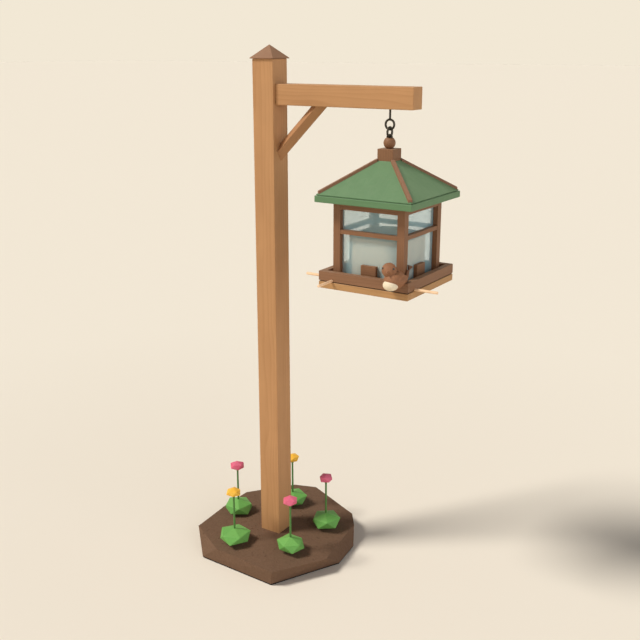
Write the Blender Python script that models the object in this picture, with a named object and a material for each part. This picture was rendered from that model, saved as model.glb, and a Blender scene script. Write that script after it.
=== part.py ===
"""Lantern bird feeder: a glazed wooden lantern with a seed tray, hung by a link from the arm of a garden post.

Metres, +Z up, +X along the arm. The origin is on the ground under the axis of the post.
"""
import math
import random

import bmesh
import bpy
from mathutils import Matrix, Vector

# Gap left between faces that touch
FIT = 0.0003

# Earth mound: outline points as (degrees, metres from the post's axis)
SOIL_HEIGHT = 0.093
SOIL_EDGE_DROP = 0.020
SOIL_FLAT_RADIUS = 0.130
SOIL_RIM = ((-153, 0.369), (-114, 0.310), (-58, 0.361), (-16, 0.341), (40, 0.364),
            (56, 0.387), (100, 0.467), (114, 0.463), (147, 0.411), (171, 0.352))
SOIL_FOOT = ((-127, 0.352), (-59, 0.347), (2, 0.337), (28, 0.357), (75, 0.400),
             (107, 0.430), (140, 0.370), (175, 0.330), (-160, 0.330))
SOIL_FOOT_RISE = 0.008
SOIL_FOOT_INSET = 0.004
SOCKET_FLOOR = 0.012

# Plants: (degrees, metres) from the post's axis
PLANT_PLACES = ((36, 0.229), (106, 0.238), (175, 0.238), (247, 0.220), (322, 0.217))
LEAF_WIDTH = 0.138
LEAF_HEIGHT = 0.072
LEAF_CENTRE = 0.027
BLOOM_WIDTH = 0.064
BLOOM_HEIGHT = 0.039
BLOOM_CENTRE = 0.238
STEM_RADIUS = 0.0038

# Post and its cap
POST_WIDTH = 0.100
POST_HEIGHT = 2.177
POST_EDGE = 0.0025
CAP_WIDTH = 0.1134
CAP_LIP = 0.003
CAP_RISE = 0.051

# Arm, its tenon and screws, and the diagonal brace
ARM_WIDTH = 0.072
ARM_HEIGHT = 0.082
ARM_LENGTH = 0.615
ARM_BELOW_CAP = 0.0954
ARM_EDGE = 0.003
TENON_LENGTH = 0.050
TENON_WIDTH = 0.030
TENON_HEIGHT = 0.060
ARM_SCREW_SPACING = 0.032
ARM_SCREW_RADIUS = 0.0035
ARM_SCREW_LENGTH = 0.110
ARM_SCREW_HEAD_RADIUS = 0.007
ARM_SCREW_HEAD_HEIGHT = 0.005
BRACE_SIDE = 0.0365
BRACE_LEG = 0.188

# Rings between the arm and the lantern
HOOK_BEFORE_ARM_END = 0.064
HOOK_DROP = 0.0571
RING_RADIUS = 0.0183
WIRE_RADIUS = 0.0041
EYE_SCREW_DEPTH = 0.045
FINIAL_RING_RADIUS = 0.0091
SHANK_RADIUS = 0.004

# Finial ball and plinth
BALL_RADIUS = 0.0231
BALL_BELOW_EYE = 0.0206
BALL_FLAT = 0.0025
BALL_DISH_CLEARANCE = 0.0015
PLINTH_WIDTH = 0.0670
PLINTH_EDGE = 0.0015
PLINTH_ABOVE_ROOF = 0.0443
PLINTH_IN_ROOF = 0.018
NUT_RADIUS = 0.0075
NUT_HEIGHT = 0.0065
WASHER_RADIUS = 0.010
WASHER_HEIGHT = 0.0015
SHANK_BELOW_NUT = 0.004

# Roof
ROOF_OVERHANG = 0.0474
ROOF_SLOPE = 0.718
ROOF_EDGE = 0.0045
ROOF_EDGE_GAP = 0.0015
ROOF_EDGE_REBATE = 0.004
PANEL_THICKNESS = 0.013
EAVE_LEDGE = 0.0055
EAVE_THICKNESS = 0.0247
EAVE_EDGE = 0.0025
STRIP_WIDTH = 0.0148
STRIP_RISE = 0.0076
STRIP_END_BEFORE_EDGE = 0.0055

# Lantern body
BODY_HALF = 0.1526
BODY_HEIGHT = 0.3032
CORNER_POST_WIDTH = 0.0301
RAIL_SETBACK = 0.001
BAR_THICKNESS = 0.0187
TOP_RAIL_DEPTH = 0.0285
TOP_RAIL_HEIGHT = 0.0275
MID_RAIL_HEIGHT = 0.0158
MID_RAIL_ABOVE_FLOOR = 0.1817
PANE_THICKNESS = 0.003
PANE_GROOVE = 0.0043
PORT_BLOCK_WIDTH = 0.0644
PORT_BLOCK_HEIGHT = 0.0694
PORT_BLOCK_THICKNESS = 0.0157
SEED_CLEARANCE = 0.0013
SEED_HEIGHT = 0.182
SEED_HEAP = 0.0145
SEED_CORNER = 0.077
SEED_TOP_HALF = 0.093
SEED_TOP_FLAT = 0.003

# Tray and perches
TROUGH_WIDTH = 0.0167
BASE_THICKNESS = 0.0293
RIM_HEIGHT = 0.037
RIM_THICKNESS = 0.024
RIM_EDGE = 0.001
BASE_EDGE = 0.0015
BASE_GAP = 0.003
BASE_REBATE = 0.005
PERCH_RADIUS = 0.0053
PERCH_FROM_CORNER = 0.0588
PERCH_OUT = 0.093
PERCH_IN = 0.020
PERCH_ABOVE_FLOOR = 0.003
PERCH_SIGNS = (-1, -1, 1, 1)

# Bird: centres as (along the tray's edge, out from its face, up from its top), and half sizes
BIRD_FROM_CORNER = 0.0543
BODY_CENTRE = (0.004, 0.0067, 0.0094)
BODY_HALVES = (0.037, 0.0463, 0.035)
HEAD_CENTRE = (-0.0115, 0.0240, 0.0476)
HEAD_RADIUS = 0.0275
BELLY_CENTRE = (0.0015, 0.0345, -0.0050)
BELLY_HALVES = (0.029, 0.0265, 0.021)
WING_OFFSET = (0.030, -0.0067, 0.0006)
WING_HALVES = (0.009, 0.034, 0.020)
EYE_RADIUS = 0.0040
HEAD_TURN = 16
EYE_TURN = 50
EYE_RISE = 20
BEAK_LENGTH = 0.012
BEAK_RADIUS = 0.0055
BEAK_DIP = 6
TAIL_ROOT = (0.0205, 0.002, 0.003)
TAIL_BEND = (0.0205, -0.056, 0.010)
TAIL_RISE = (0.0185, -0.066, 0.034)
TAIL_FAN = (0.0139, -0.0733, 0.0405)
TAIL_TIP = (0.0255, -0.0893, 0.0427)
TAIL_ROOT_RADIUS = 0.011
TAIL_BEND_RADIUS = 0.0065
TAIL_FAN_RADIUS = 0.0125
TAIL_TIP_RADIUS = 0.0025

# Widths worked out from the sizes above
HOOK_X = ARM_LENGTH - HOOK_BEFORE_ARM_END
ROOF_HALF = BODY_HALF + ROOF_OVERHANG
EAVE_HALF = ROOF_HALF + EAVE_LEDGE
RIM_INNER = BODY_HALF + TROUGH_WIDTH
TRAY_HALF = RIM_INNER + RIM_THICKNESS
PERCH_OFFSET = TRAY_HALF - PERCH_FROM_CORNER
BIRD_ALONG = TRAY_HALF - BIRD_FROM_CORNER

# Heights worked out from the sizes above
POST_TOP = POST_HEIGHT
ARM_TOP = POST_TOP - ARM_BELOW_CAP
ARM_BOTTOM = ARM_TOP - ARM_HEIGHT
ARM_START = POST_WIDTH / 2 + FIT
EYE_SCREW_RING = ARM_BOTTOM - HOOK_DROP
RING_HOLE = RING_RADIUS - WIRE_RADIUS
LINK_CENTRE = EYE_SCREW_RING - (2 * RING_HOLE - FIT)
LINK_AXIS = EYE_SCREW_RING - RING_RADIUS
HANGER_AXIS = LINK_CENTRE - RING_RADIUS
FINIAL_RING = HANGER_AXIS + WIRE_RADIUS + FIT - (FINIAL_RING_RADIUS - WIRE_RADIUS)
BALL_CENTRE = FINIAL_RING - BALL_BELOW_EYE
PLINTH_TOP = BALL_CENTRE - (BALL_RADIUS - BALL_FLAT) - FIT
PLINTH_HALF = PLINTH_WIDTH / 2
ROOF_AT_PLINTH = PLINTH_TOP - PLINTH_ABOVE_ROOF
PLINTH_BOTTOM = ROOF_AT_PLINTH - PLINTH_IN_ROOF
EAVE_TOP = ROOF_AT_PLINTH - ROOF_SLOPE * (ROOF_HALF - PLINTH_HALF) - ROOF_EDGE - FIT
EAVE_BOTTOM = EAVE_TOP - EAVE_THICKNESS
FLOOR = EAVE_BOTTOM - BODY_HEIGHT
RIM_TOP = FLOOR + FIT + RIM_HEIGHT

# Places of the panes and rails, measured out from the lantern's axis
POST_INNER = BODY_HALF - CORNER_POST_WIDTH
RAIL_FACE = BODY_HALF - RAIL_SETBACK
PANE_FACE = RAIL_FACE - BAR_THICKNESS - FIT
PANE_BACK = PANE_FACE - PANE_THICKNESS
PANE_HALF_WIDTH = POST_INNER + PANE_GROOVE - FIT
TOP_RAIL_BOTTOM = EAVE_BOTTOM - FIT - TOP_RAIL_HEIGHT
MITRE = FIT / math.sqrt(2)

SIDES = ("front", "right", "back", "left")
CORNERS = ("front_left", "front_right", "back_right", "back_left")

# Colours as written in a colour picker, with roughness and metallic value
PAINTS = {
    "oiled_timber": ("C68C58", 0.62, 0.0),
    "cap_timber": ("A2775A", 0.60, 0.0),
    "brace_timber": ("A87650", 0.62, 0.0),
    "stained_timber": ("8F6444", 0.60, 0.0),
    "rim_timber": ("96694B", 0.60, 0.0),
    "base_timber": ("C8905A", 0.60, 0.0),
    "dowel_timber": ("F5D2A4", 0.58, 0.0),
    "green_paint": ("6F9468", 0.50, 0.0),
    "strip_timber": ("A26F55", 0.58, 0.0),
    "iron": ("423D34", 0.45, 0.8),
    "zinc": ("A8A9A6", 0.35, 1.0),
    "glass": ("BFD3D0", 0.06, 0.0),
    "seed": ("C9B48C", 0.90, 0.0),
    "soil": ("715948", 0.95, 0.0),
    "leaf": ("6FAE55", 0.70, 0.0),
    "stem": ("4F6B3B", 0.70, 0.0),
    "pink_bloom": ("E96C8D", 0.60, 0.0),
    "yellow_bloom": ("FBC34C", 0.60, 0.0),
    "bird_brown": ("8E6145", 0.70, 0.0),
    "bird_cream": ("E9D5B4", 0.75, 0.0),
    "bird_black": ("241C18", 0.30, 0.0),
}
BLOOM_PAINTS = ("pink_bloom", "yellow_bloom", "pink_bloom", "yellow_bloom", "pink_bloom")


def linear(value):
    """Scene-linear value of one picked colour channel."""
    return value / 12.92 if value <= 0.04045 else ((value + 0.055) / 1.055) ** 2.4


def paint(name):
    """Material of that name, made on its first use."""
    if name in bpy.data.materials:
        return bpy.data.materials[name]
    code, roughness, metallic = PAINTS[name]
    colour = [linear(int(code[i:i + 2], 16) / 255) for i in (0, 2, 4)]
    material = bpy.data.materials.new(name)
    material.use_nodes = True
    shader = material.node_tree.nodes["Principled BSDF"]
    shader.inputs["Base Color"].default_value = (*colour, 1.0)
    shader.inputs["Roughness"].default_value = roughness
    shader.inputs["Metallic"].default_value = metallic
    material.diffuse_color = (*colour, 1.0)
    return material


def empty(name, location, parent=None):
    """Empty at a world place, as the carrier of a moving group."""
    holder = bpy.data.objects.new(name, None)
    bpy.context.scene.collection.objects.link(holder)
    holder.parent = parent
    holder.location = Vector(location) - (world_place(parent) if parent else Vector())
    return holder


def world_place(obj):
    """World place of an unrotated object from its chain of parents."""
    place = obj.location.copy()
    while obj.parent:
        obj = obj.parent
        place += obj.location
    return place


def put(name, mesh, colour, place=(0.0, 0.0, 0.0), parent=None, turn=0.0):
    """Named object of a mesh, at a world place, turned about its own vertical axis."""
    obj = bpy.data.objects.new(name, mesh)
    bpy.context.scene.collection.objects.link(obj)
    if colour and not mesh.materials:
        mesh.materials.append(paint(colour))
    obj.parent = parent
    obj.location = Vector(place) - (world_place(parent) if parent else Vector())
    obj.rotation_euler = (0.0, 0.0, turn)
    return obj


def guide(name, mesh, place=(0.0, 0.0, 0.0), turn=0.0):
    """Object that only cuts or adds to others."""
    obj = put(name, mesh, None, place, None, turn)
    obj.hide_render = True
    obj.display_type = "WIRE"
    return obj


def combine(obj, other, operation="DIFFERENCE"):
    """Boolean of an object with a guide."""
    modifier = obj.modifiers.new(f"{operation.lower()} {other.name}", "BOOLEAN")
    modifier.operation = operation
    modifier.solver = "EXACT"
    modifier.object = other


def join(obj, other):
    """Boolean union of an object with a guide, which keeps its own colour."""
    combine(obj, other, "UNION")
    obj.modifiers[-1].material_mode = "TRANSFER"


def soften(obj, width, segments=2):
    """Small round on an object's edges."""
    modifier = obj.modifiers.new("edge round", "BEVEL")
    modifier.width = width
    modifier.segments = segments
    modifier.limit_method = "ANGLE"


def finish(bm, name, smooth=False):
    """Mesh of a bmesh, with its faces turned outward."""
    bmesh.ops.recalc_face_normals(bm, faces=bm.faces)
    mesh = bpy.data.meshes.new(name)
    bm.to_mesh(mesh)
    bm.free()
    if smooth:
        mesh.shade_smooth()
        mesh.set_sharp_from_angle(angle=math.radians(40))
    return mesh


def add_box(bm, low, high):
    """Adds a box between two corners to a bmesh."""
    low, high = Vector(low), Vector(high)
    size = high - low
    matrix = Matrix.Translation((low + high) / 2) @ Matrix.Diagonal((*size, 1.0))
    bmesh.ops.create_cube(bm, size=1.0, matrix=matrix)


def box(name, low, high):
    """Box mesh between two corners."""
    bm = bmesh.new()
    add_box(bm, low, high)
    return finish(bm, name)


def add_rod(bm, start, end, radius, end_radius=None, segments=16):
    """Adds a cylinder or cone between two points to a bmesh."""
    start, end = Vector(start), Vector(end)
    along = end - start
    turn = along.to_track_quat("Z", "Y").to_matrix().to_4x4()
    matrix = Matrix.Translation((start + end) / 2) @ turn
    bmesh.ops.create_cone(bm, cap_ends=True, segments=segments, radius1=radius,
                          radius2=radius if end_radius is None else end_radius,
                          depth=along.length, matrix=matrix)


def rod(name, start, end, radius, end_radius=None, segments=16):
    """Cylinder or cone mesh between two points."""
    bm = bmesh.new()
    add_rod(bm, start, end, radius, end_radius, segments)
    return finish(bm, name, smooth=True)


def ball(name, halves, segments=20, rings=12):
    """Ellipsoid mesh about its own centre."""
    bm = bmesh.new()
    bmesh.ops.create_uvsphere(bm, u_segments=segments, v_segments=rings, radius=1.0,
                              matrix=Matrix.Diagonal((*halves, 1.0)))
    return finish(bm, name, smooth=True)


def ring(name, radius, wire, axis, steps=32, sides=12):
    """Round ring of round wire about its own centre, with its hole along an axis."""
    bm = bmesh.new()
    axis = Vector(axis)
    across = Vector((0.0, 0.0, 1.0))
    for side in range(sides):
        angle = 2 * math.pi * side / sides
        bm.verts.new(across * (radius + wire * math.cos(angle)) + axis * wire * math.sin(angle))
    verts = list(bm.verts)
    edges = [bm.edges.new((verts[i], verts[(i + 1) % sides])) for i in range(sides)]
    bmesh.ops.spin(bm, geom=edges, cent=(0.0, 0.0, 0.0), axis=axis, angle=2 * math.pi,
                   steps=steps, use_merge=True)
    bmesh.ops.remove_doubles(bm, verts=bm.verts, dist=0.00001)
    return finish(bm, name, smooth=True)


def prism(name, outline, low, high, axis="Z"):
    """Outline carried along an axis: (x, y) points along Z, or (y, z) points along X."""
    bm = bmesh.new()
    corners = []
    for first, second in outline:
        point = (first, second, low) if axis == "Z" else (low, first, second)
        corners.append(bm.verts.new(point))
    face = bm.faces.new(corners)
    carried = bmesh.ops.extrude_face_region(bm, geom=[face])["geom"]
    step = (0.0, 0.0, high - low) if axis == "Z" else (high - low, 0.0, 0.0)
    moved = [item for item in carried if isinstance(item, bmesh.types.BMVert)]
    bmesh.ops.translate(bm, vec=step, verts=moved)
    return finish(bm, name)


def bridge(name, *outlines):
    """Solid through two or more outlines with as many points each."""
    bm = bmesh.new()
    loops = [[bm.verts.new(point) for point in outline] for outline in outlines]
    bm.faces.new(loops[0])
    bm.faces.new(loops[-1])
    count = len(loops[0])
    for starts, ends in zip(loops, loops[1:]):
        for i in range(count):
            j = (i + 1) % count
            bm.faces.new((starts[i], starts[j], ends[j], ends[i]))
    bmesh.ops.connect_verts_nonplanar(bm, angle_limit=0.001, faces=bm.faces[:])
    return finish(bm, name)


def polar(degrees, radius, height=0.0):
    """Point at an angle and a distance from the post's axis."""
    angle = math.radians(degrees)
    return Vector((radius * math.cos(angle), radius * math.sin(angle), height))


def soil_mesh(name):
    """Faceted mound, undercut at its foot, without its socket."""
    bm = bmesh.new()
    edge_height = SOIL_HEIGHT - SOIL_EDGE_DROP
    for degrees, radius in SOIL_RIM:
        bm.verts.new(polar(degrees, radius, edge_height))
    for degrees, radius in SOIL_FOOT:
        bm.verts.new(polar(degrees, radius, SOIL_FOOT_RISE))
        bm.verts.new(polar(degrees, radius - SOIL_FOOT_INSET))
    for degrees in range(0, 360, 60):
        bm.verts.new(polar(degrees, SOIL_FLAT_RADIUS, SOIL_HEIGHT))
    bmesh.ops.convex_hull(bm, input=bm.verts)
    return finish(bm, name)


def pebble(name, width, height, seed, low_cut=None):
    """Faceted lump of foliage or petals, uneven but the same on each run."""
    chance = random.Random(seed)
    bm = bmesh.new()
    matrix = Matrix.Diagonal((width / 2, width / 2, height / 2, 1.0))
    matrix = matrix @ Matrix.Rotation(chance.uniform(0.0, math.tau), 4, "Z")
    bmesh.ops.create_icosphere(bm, subdivisions=1, radius=1.06, matrix=matrix)
    for vert in bm.verts:
        vert.co *= chance.uniform(0.90, 1.06)
    if low_cut is not None:
        for vert in bm.verts:
            vert.co.z = max(vert.co.z, low_cut)
    hull = bmesh.ops.convex_hull(bm, input=bm.verts)
    inner = [item for item in hull["geom_interior"] if isinstance(item, bmesh.types.BMVert)]
    bmesh.ops.delete(bm, geom=inner, context="VERTS")
    return finish(bm, name)


def build_mound():
    """Earth mound with the socket for the post."""
    mound = put("soil_mound", soil_mesh("soil_mound"), "soil")
    half = POST_WIDTH / 2 + FIT
    socket = box("post_socket", (-half, -half, SOCKET_FLOOR), (half, half, 2 * SOIL_HEIGHT))
    combine(mound, guide("post_socket", socket))


def build_plants():
    """Five plants seated on the mound, each of a clump of leaves, a stem and a bloom grown in one."""
    ground = guide("ground_seat", soil_mesh("ground_seat"), (0.0, 0.0, FIT))
    leaf_height = SOIL_HEIGHT + LEAF_CENTRE
    bloom_height = SOIL_HEIGHT + BLOOM_CENTRE
    for number, (degrees, radius) in enumerate(PLANT_PLACES, start=1):
        foot = polar(degrees, radius, leaf_height)
        crown = polar(degrees, radius, bloom_height)
        plant = put(f"flower_plant_{number}", pebble("leaf_clump", LEAF_WIDTH, LEAF_HEIGHT, 10 + number),
                    "leaf", foot)
        stem = rod("stem_form", (0.0, 0.0, SOIL_HEIGHT - SOIL_EDGE_DROP), (0.0, 0.0, bloom_height),
                   STEM_RADIUS, segments=8)
        stem.materials.append(paint("stem"))
        join(plant, guide(f"stem_form_{number}", stem, (foot.x, foot.y, 0.0)))
        bloom = pebble("bloom_form", BLOOM_WIDTH, BLOOM_HEIGHT, 30 + number)
        bloom.materials.append(paint(BLOOM_PAINTS[number - 1]))
        join(plant, guide(f"bloom_form_{number}", bloom, crown))
        combine(plant, ground)


def arm_screw_heights():
    """Heights of the two screws that hold the arm."""
    middle = (ARM_TOP + ARM_BOTTOM) / 2
    return middle - ARM_SCREW_SPACING / 2, middle + ARM_SCREW_SPACING / 2


def arm_screw_mesh(name, clearance):
    """Screw along X with a flat round head, or with a clearance the hole it stands in."""
    head_start = FIT - clearance
    head_end = ARM_SCREW_HEAD_HEIGHT + clearance
    tip = FIT + ARM_SCREW_LENGTH + clearance
    shank = ARM_SCREW_RADIUS + clearance
    head = ARM_SCREW_HEAD_RADIUS + clearance
    bm = bmesh.new()
    profile = ((head_start, 0.0), (head_start, head), (head_end, head), (head_end, shank),
               (tip, shank), (tip, 0.0))
    verts = [bm.verts.new((along, out, 0.0)) for along, out in profile]
    edges = [bm.edges.new(pair) for pair in zip(verts, verts[1:])]
    bmesh.ops.spin(bm, geom=edges, cent=(0.0, 0.0, 0.0), axis=(1.0, 0.0, 0.0),
                   angle=2 * math.pi, steps=16, use_merge=True)
    bmesh.ops.remove_doubles(bm, verts=bm.verts, dist=0.00001)
    return finish(bm, name, smooth=True)


def build_post():
    """Square post with the arm's mortise, and its pyramid cap."""
    half = POST_WIDTH / 2
    post = put("post", box("post", (-half, -half, SOCKET_FLOOR + FIT),
                           (half, half, POST_TOP - FIT)), "oiled_timber")
    soften(post, POST_EDGE)
    middle = (ARM_TOP + ARM_BOTTOM) / 2
    wide, tall = TENON_WIDTH / 2 + FIT, TENON_HEIGHT / 2 + FIT
    mortise = box("mortise", (ARM_START - TENON_LENGTH - FIT, -wide, middle - tall),
                  (POST_WIDTH, wide, middle + tall))
    combine(post, guide("mortise", mortise))
    for number, height in enumerate(arm_screw_heights(), start=1):
        hole = arm_screw_mesh("arm_screw_hole", FIT)
        combine(post, guide(f"post_screw_hole_{number}", hole, (-half, 0.0, height)))
    wide = CAP_WIDTH / 2
    square = [(-wide, -wide), (wide, -wide), (wide, wide), (-wide, wide)]
    bm = bmesh.new()
    low = [bm.verts.new((x, y, 0.0)) for x, y in square]
    lip = [bm.verts.new((x, y, CAP_LIP)) for x, y in square]
    peak = bm.verts.new((0.0, 0.0, CAP_LIP + CAP_RISE))
    bm.faces.new(low)
    for i in range(4):
        j = (i + 1) % 4
        bm.faces.new((low[i], low[j], lip[j], lip[i]))
        bm.faces.new((lip[i], lip[j], peak))
    put("post_cap", finish(bm, "post_cap"), "cap_timber", (0.0, 0.0, POST_TOP))


def build_arm():
    """Arm with its tenon, the screws behind it and the brace set on edge."""
    wide, tenon_wide = ARM_WIDTH / 2, TENON_WIDTH / 2
    middle = (ARM_TOP + ARM_BOTTOM) / 2
    end = POST_WIDTH / 2 + ARM_LENGTH
    arm = put("arm", box("arm", (ARM_START, -wide, ARM_BOTTOM), (end, wide, ARM_TOP)),
              "oiled_timber")
    soften(arm, ARM_EDGE)
    overlap = ARM_WIDTH / 4
    tenon = box("tenon", (ARM_START - TENON_LENGTH, -tenon_wide, middle - TENON_HEIGHT / 2),
                (ARM_START + overlap, tenon_wide, middle + TENON_HEIGHT / 2))
    combine(arm, guide("tenon", tenon), "UNION")
    screw = arm_screw_mesh("arm_screw", 0.0)
    for number, height in enumerate(arm_screw_heights(), start=1):
        place = (-POST_WIDTH / 2, 0.0, height)
        hole = arm_screw_mesh("arm_screw_hole", FIT)
        combine(arm, guide(f"arm_screw_hole_{number}", hole, place))
        put(f"arm_screw_{number}", screw, "zinc", place)
    hole = rod("eye_screw_hole", (HOOK_X, 0.0, ARM_BOTTOM - ARM_HEIGHT / 2),
               (HOOK_X, 0.0, ARM_BOTTOM + EYE_SCREW_DEPTH + FIT), WIRE_RADIUS + FIT)
    combine(arm, guide("eye_screw_hole", hole))
    build_brace()


def build_brace():
    """Square bar at 45 degrees, standing on one of its edges, from the post up to the arm."""
    diagonal = BRACE_SIDE / math.sqrt(2)
    rise = diagonal * math.sqrt(2)
    start_x = POST_WIDTH / 2 + FIT
    end_z = ARM_BOTTOM - FIT
    centre_at_zero = ARM_BOTTOM - BRACE_LEG - POST_WIDTH / 2
    starts, ends = [], []
    for across, up in ((0.0, rise), (-diagonal, 0.0), (0.0, -rise), (diagonal, 0.0)):
        line = centre_at_zero + up
        starts.append((start_x, across, start_x + line))
        ends.append((end_z - line, across, end_z))
    put("arm_brace", bridge("arm_brace", starts, ends), "brace_timber")


def build_rings():
    """Screw eye under the arm, the link on it, and the empties on their joint axes."""
    place = (HOOK_X, 0.0, EYE_SCREW_RING)
    screw = put("eye_screw", ring("eye_screw", RING_RADIUS, WIRE_RADIUS, (0, 1, 0)), "iron", place)
    top = ARM_BOTTOM + EYE_SCREW_DEPTH - EYE_SCREW_RING
    shank = rod("eye_screw_shank", (0.0, 0.0, RING_RADIUS), (0.0, 0.0, top), WIRE_RADIUS)
    combine(screw, guide("eye_screw_shank", shank, place), "UNION")
    link_pivot = empty("link_pivot", (HOOK_X, 0.0, LINK_AXIS))
    put("chain_link", ring("chain_link", RING_RADIUS, WIRE_RADIUS, (1, 0, 0)), "iron",
        (HOOK_X, 0.0, LINK_CENTRE), link_pivot)
    hanger_pivot = empty("hanger_pivot", (HOOK_X, 0.0, HANGER_AXIS), link_pivot)
    turn_axis = empty("turn_axis", (HOOK_X, 0.0, PLINTH_TOP), hanger_pivot)
    return hanger_pivot, turn_axis


def finial_ring(name, clearance):
    """Small ring of the finial eye, or with a clearance the groove it sits in."""
    return ring(name, FINIAL_RING_RADIUS, WIRE_RADIUS + clearance, (0, 1, 0), steps=24)


def build_hanger(pivot):
    """Finial eye, ball and nut, on which the lantern hangs and turns."""
    place = (HOOK_X, 0.0, FINIAL_RING)
    washer_top = PLINTH_BOTTOM - FIT
    nut_bottom = washer_top - WASHER_HEIGHT - NUT_HEIGHT
    shank_top = -FINIAL_RING_RADIUS
    shank_bottom = nut_bottom - SHANK_BELOW_NUT - FINIAL_RING
    eye = put("finial_eye", finial_ring("finial_eye", 0.0), "iron", place, pivot)
    shank = rod("finial_shank", (0.0, 0.0, shank_top), (0.0, 0.0, shank_bottom), SHANK_RADIUS)
    combine(eye, guide("finial_shank", shank, place), "UNION")

    finial = put("finial_ball", ball("finial_ball", (BALL_RADIUS,) * 3, 28, 18),
                 "stained_timber", (HOOK_X, 0.0, BALL_CENTRE), pivot)
    low = BALL_FLAT - BALL_RADIUS
    foot = box("ball_foot", (-BALL_RADIUS, -BALL_RADIUS, -2 * BALL_RADIUS),
               (BALL_RADIUS, BALL_RADIUS, low))
    combine(finial, guide("ball_foot", foot, (HOOK_X, 0.0, BALL_CENTRE)))
    dish_radius = RING_RADIUS + WIRE_RADIUS + BALL_DISH_CLEARANCE
    dish = ball("ball_dish", (dish_radius,) * 3, 28, 18)
    combine(finial, guide("ball_dish", dish, (HOOK_X, 0.0, LINK_CENTRE)))
    combine(finial, guide("ball_groove", finial_ring("ball_groove", FIT), place))
    bore = rod("ball_bore", (0.0, 0.0, shank_top), (0.0, 0.0, shank_bottom), SHANK_RADIUS + FIT)
    combine(finial, guide("ball_bore", bore, place))

    nut = put("hanger_nut", rod("hanger_nut", (0.0, 0.0, -WASHER_HEIGHT), (0.0, 0.0, 0.0),
                                WASHER_RADIUS, segments=24), "zinc",
              (HOOK_X, 0.0, washer_top), pivot)
    hexagon = rod("nut_hexagon", (0.0, 0.0, -WASHER_HEIGHT - NUT_HEIGHT),
                  (0.0, 0.0, -WASHER_HEIGHT / 2), NUT_RADIUS, segments=6)
    combine(nut, guide("nut_hexagon", hexagon, (HOOK_X, 0.0, washer_top)), "UNION")
    combine(nut, guide("nut_bore", rod("nut_bore", (0.0, 0.0, shank_top), (0.0, 0.0, shank_bottom),
                                       SHANK_RADIUS + FIT), place))


def roof_height(out):
    """Height of the roof's outer face at a distance out from the axis."""
    return ROOF_AT_PLINTH - ROOF_SLOPE * (out - PLINTH_HALF)


def panel_mesh():
    """Front slope of the roof, mitred at both hips, with a level seat rebated under its edge."""
    inner = PLINTH_HALF + FIT
    drop = PANEL_THICKNESS * math.sqrt(1 + ROOF_SLOPE ** 2)
    seat = EAVE_TOP + FIT
    heel = PLINTH_HALF + (ROOF_AT_PLINTH - drop - seat) / ROOF_SLOPE
    rebate, gap = ROOF_HALF - ROOF_EDGE_REBATE, seat + ROOF_EDGE_GAP
    section = ((rebate, seat), (rebate, gap), (ROOF_HALF, gap), (ROOF_HALF, roof_height(ROOF_HALF)),
               (inner, roof_height(inner)), (inner, roof_height(inner) - drop), (heel, seat))
    left = [(-(out - MITRE), -out, height) for out, height in section]
    right = [(out - MITRE, -out, height) for out, height in section]
    return bridge("roof_panel", left, right)


def strip_mesh():
    """Batten on the front left hip, hollowed below to sit over the two slopes."""
    half = STRIP_WIDTH / 2
    gap = FIT * math.sqrt(1 + ROOF_SLOPE ** 2)
    fall = ROOF_SLOPE * half / math.sqrt(2)
    section = ((-half, gap - fall), (0.0, gap), (half, gap - fall), (half, STRIP_RISE),
               (-half, STRIP_RISE))
    outlines = []
    for out in (PLINTH_HALF + 2 * FIT, ROOF_HALF - STRIP_END_BEFORE_EDGE):
        side = 1 / math.sqrt(2)
        outlines.append([(-out + side * across, -out - side * across, roof_height(out) + up)
                         for across, up in section])
    return bridge("hip_strip", *outlines)


def build_roof(axis):
    """Plinth, four slopes, hip strips and eave board."""
    centre = (HOOK_X, 0.0, 0.0)
    plinth = put("plinth", box("plinth", (-PLINTH_HALF, -PLINTH_HALF, PLINTH_BOTTOM),
                               (PLINTH_HALF, PLINTH_HALF, PLINTH_TOP)), "stained_timber",
                 centre, axis)
    soften(plinth, PLINTH_EDGE)
    bore = rod("plinth_bore", (HOOK_X, 0.0, PLINTH_BOTTOM - PLINTH_WIDTH),
               (HOOK_X, 0.0, PLINTH_TOP + PLINTH_WIDTH), SHANK_RADIUS + FIT)
    combine(plinth, guide("plinth_bore", bore))
    panel, strip = panel_mesh(), strip_mesh()
    for number in range(4):
        turn = number * math.pi / 2
        put(f"roof_panel_{SIDES[number]}", panel, "green_paint", centre, axis, turn)
        put(f"hip_strip_{CORNERS[number]}", strip, "strip_timber", centre, axis, turn)
    board = put("eave_board", box("eave_board", (-EAVE_HALF, -EAVE_HALF, EAVE_BOTTOM),
                                  (EAVE_HALF, EAVE_HALF, EAVE_TOP)), "green_paint", centre, axis)
    soften(board, EAVE_EDGE)


def corner_post_mesh():
    """Front left corner post, with a groove for the pane on each inner side."""
    outer, inner = -BODY_HALF, -POST_INNER
    deep = inner - PANE_GROOVE
    near, far = -PANE_FACE - FIT, -PANE_BACK + FIT
    outline = [(outer, outer), (inner, outer), (inner, near), (deep, near), (deep, far),
               (inner, far), (inner, inner), (far, inner), (far, deep), (near, deep),
               (near, inner), (outer, inner)]
    return prism("corner_post", outline, FLOOR + FIT, EAVE_BOTTOM - FIT)


def top_rail_mesh():
    """Front rail under the eave board, with a groove below for the pane."""
    half = POST_INNER - FIT
    front, back = -RAIL_FACE, -RAIL_FACE + TOP_RAIL_DEPTH
    near, far = -PANE_FACE - FIT, -PANE_BACK + FIT
    top, low = EAVE_BOTTOM - FIT, TOP_RAIL_BOTTOM
    deep = low + PANE_GROOVE
    outline = [(front, low), (near, low), (near, deep), (far, deep), (far, low), (back, low),
               (back, top), (front, top)]
    return prism("top_rail", outline, -half, half, axis="X")


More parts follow.
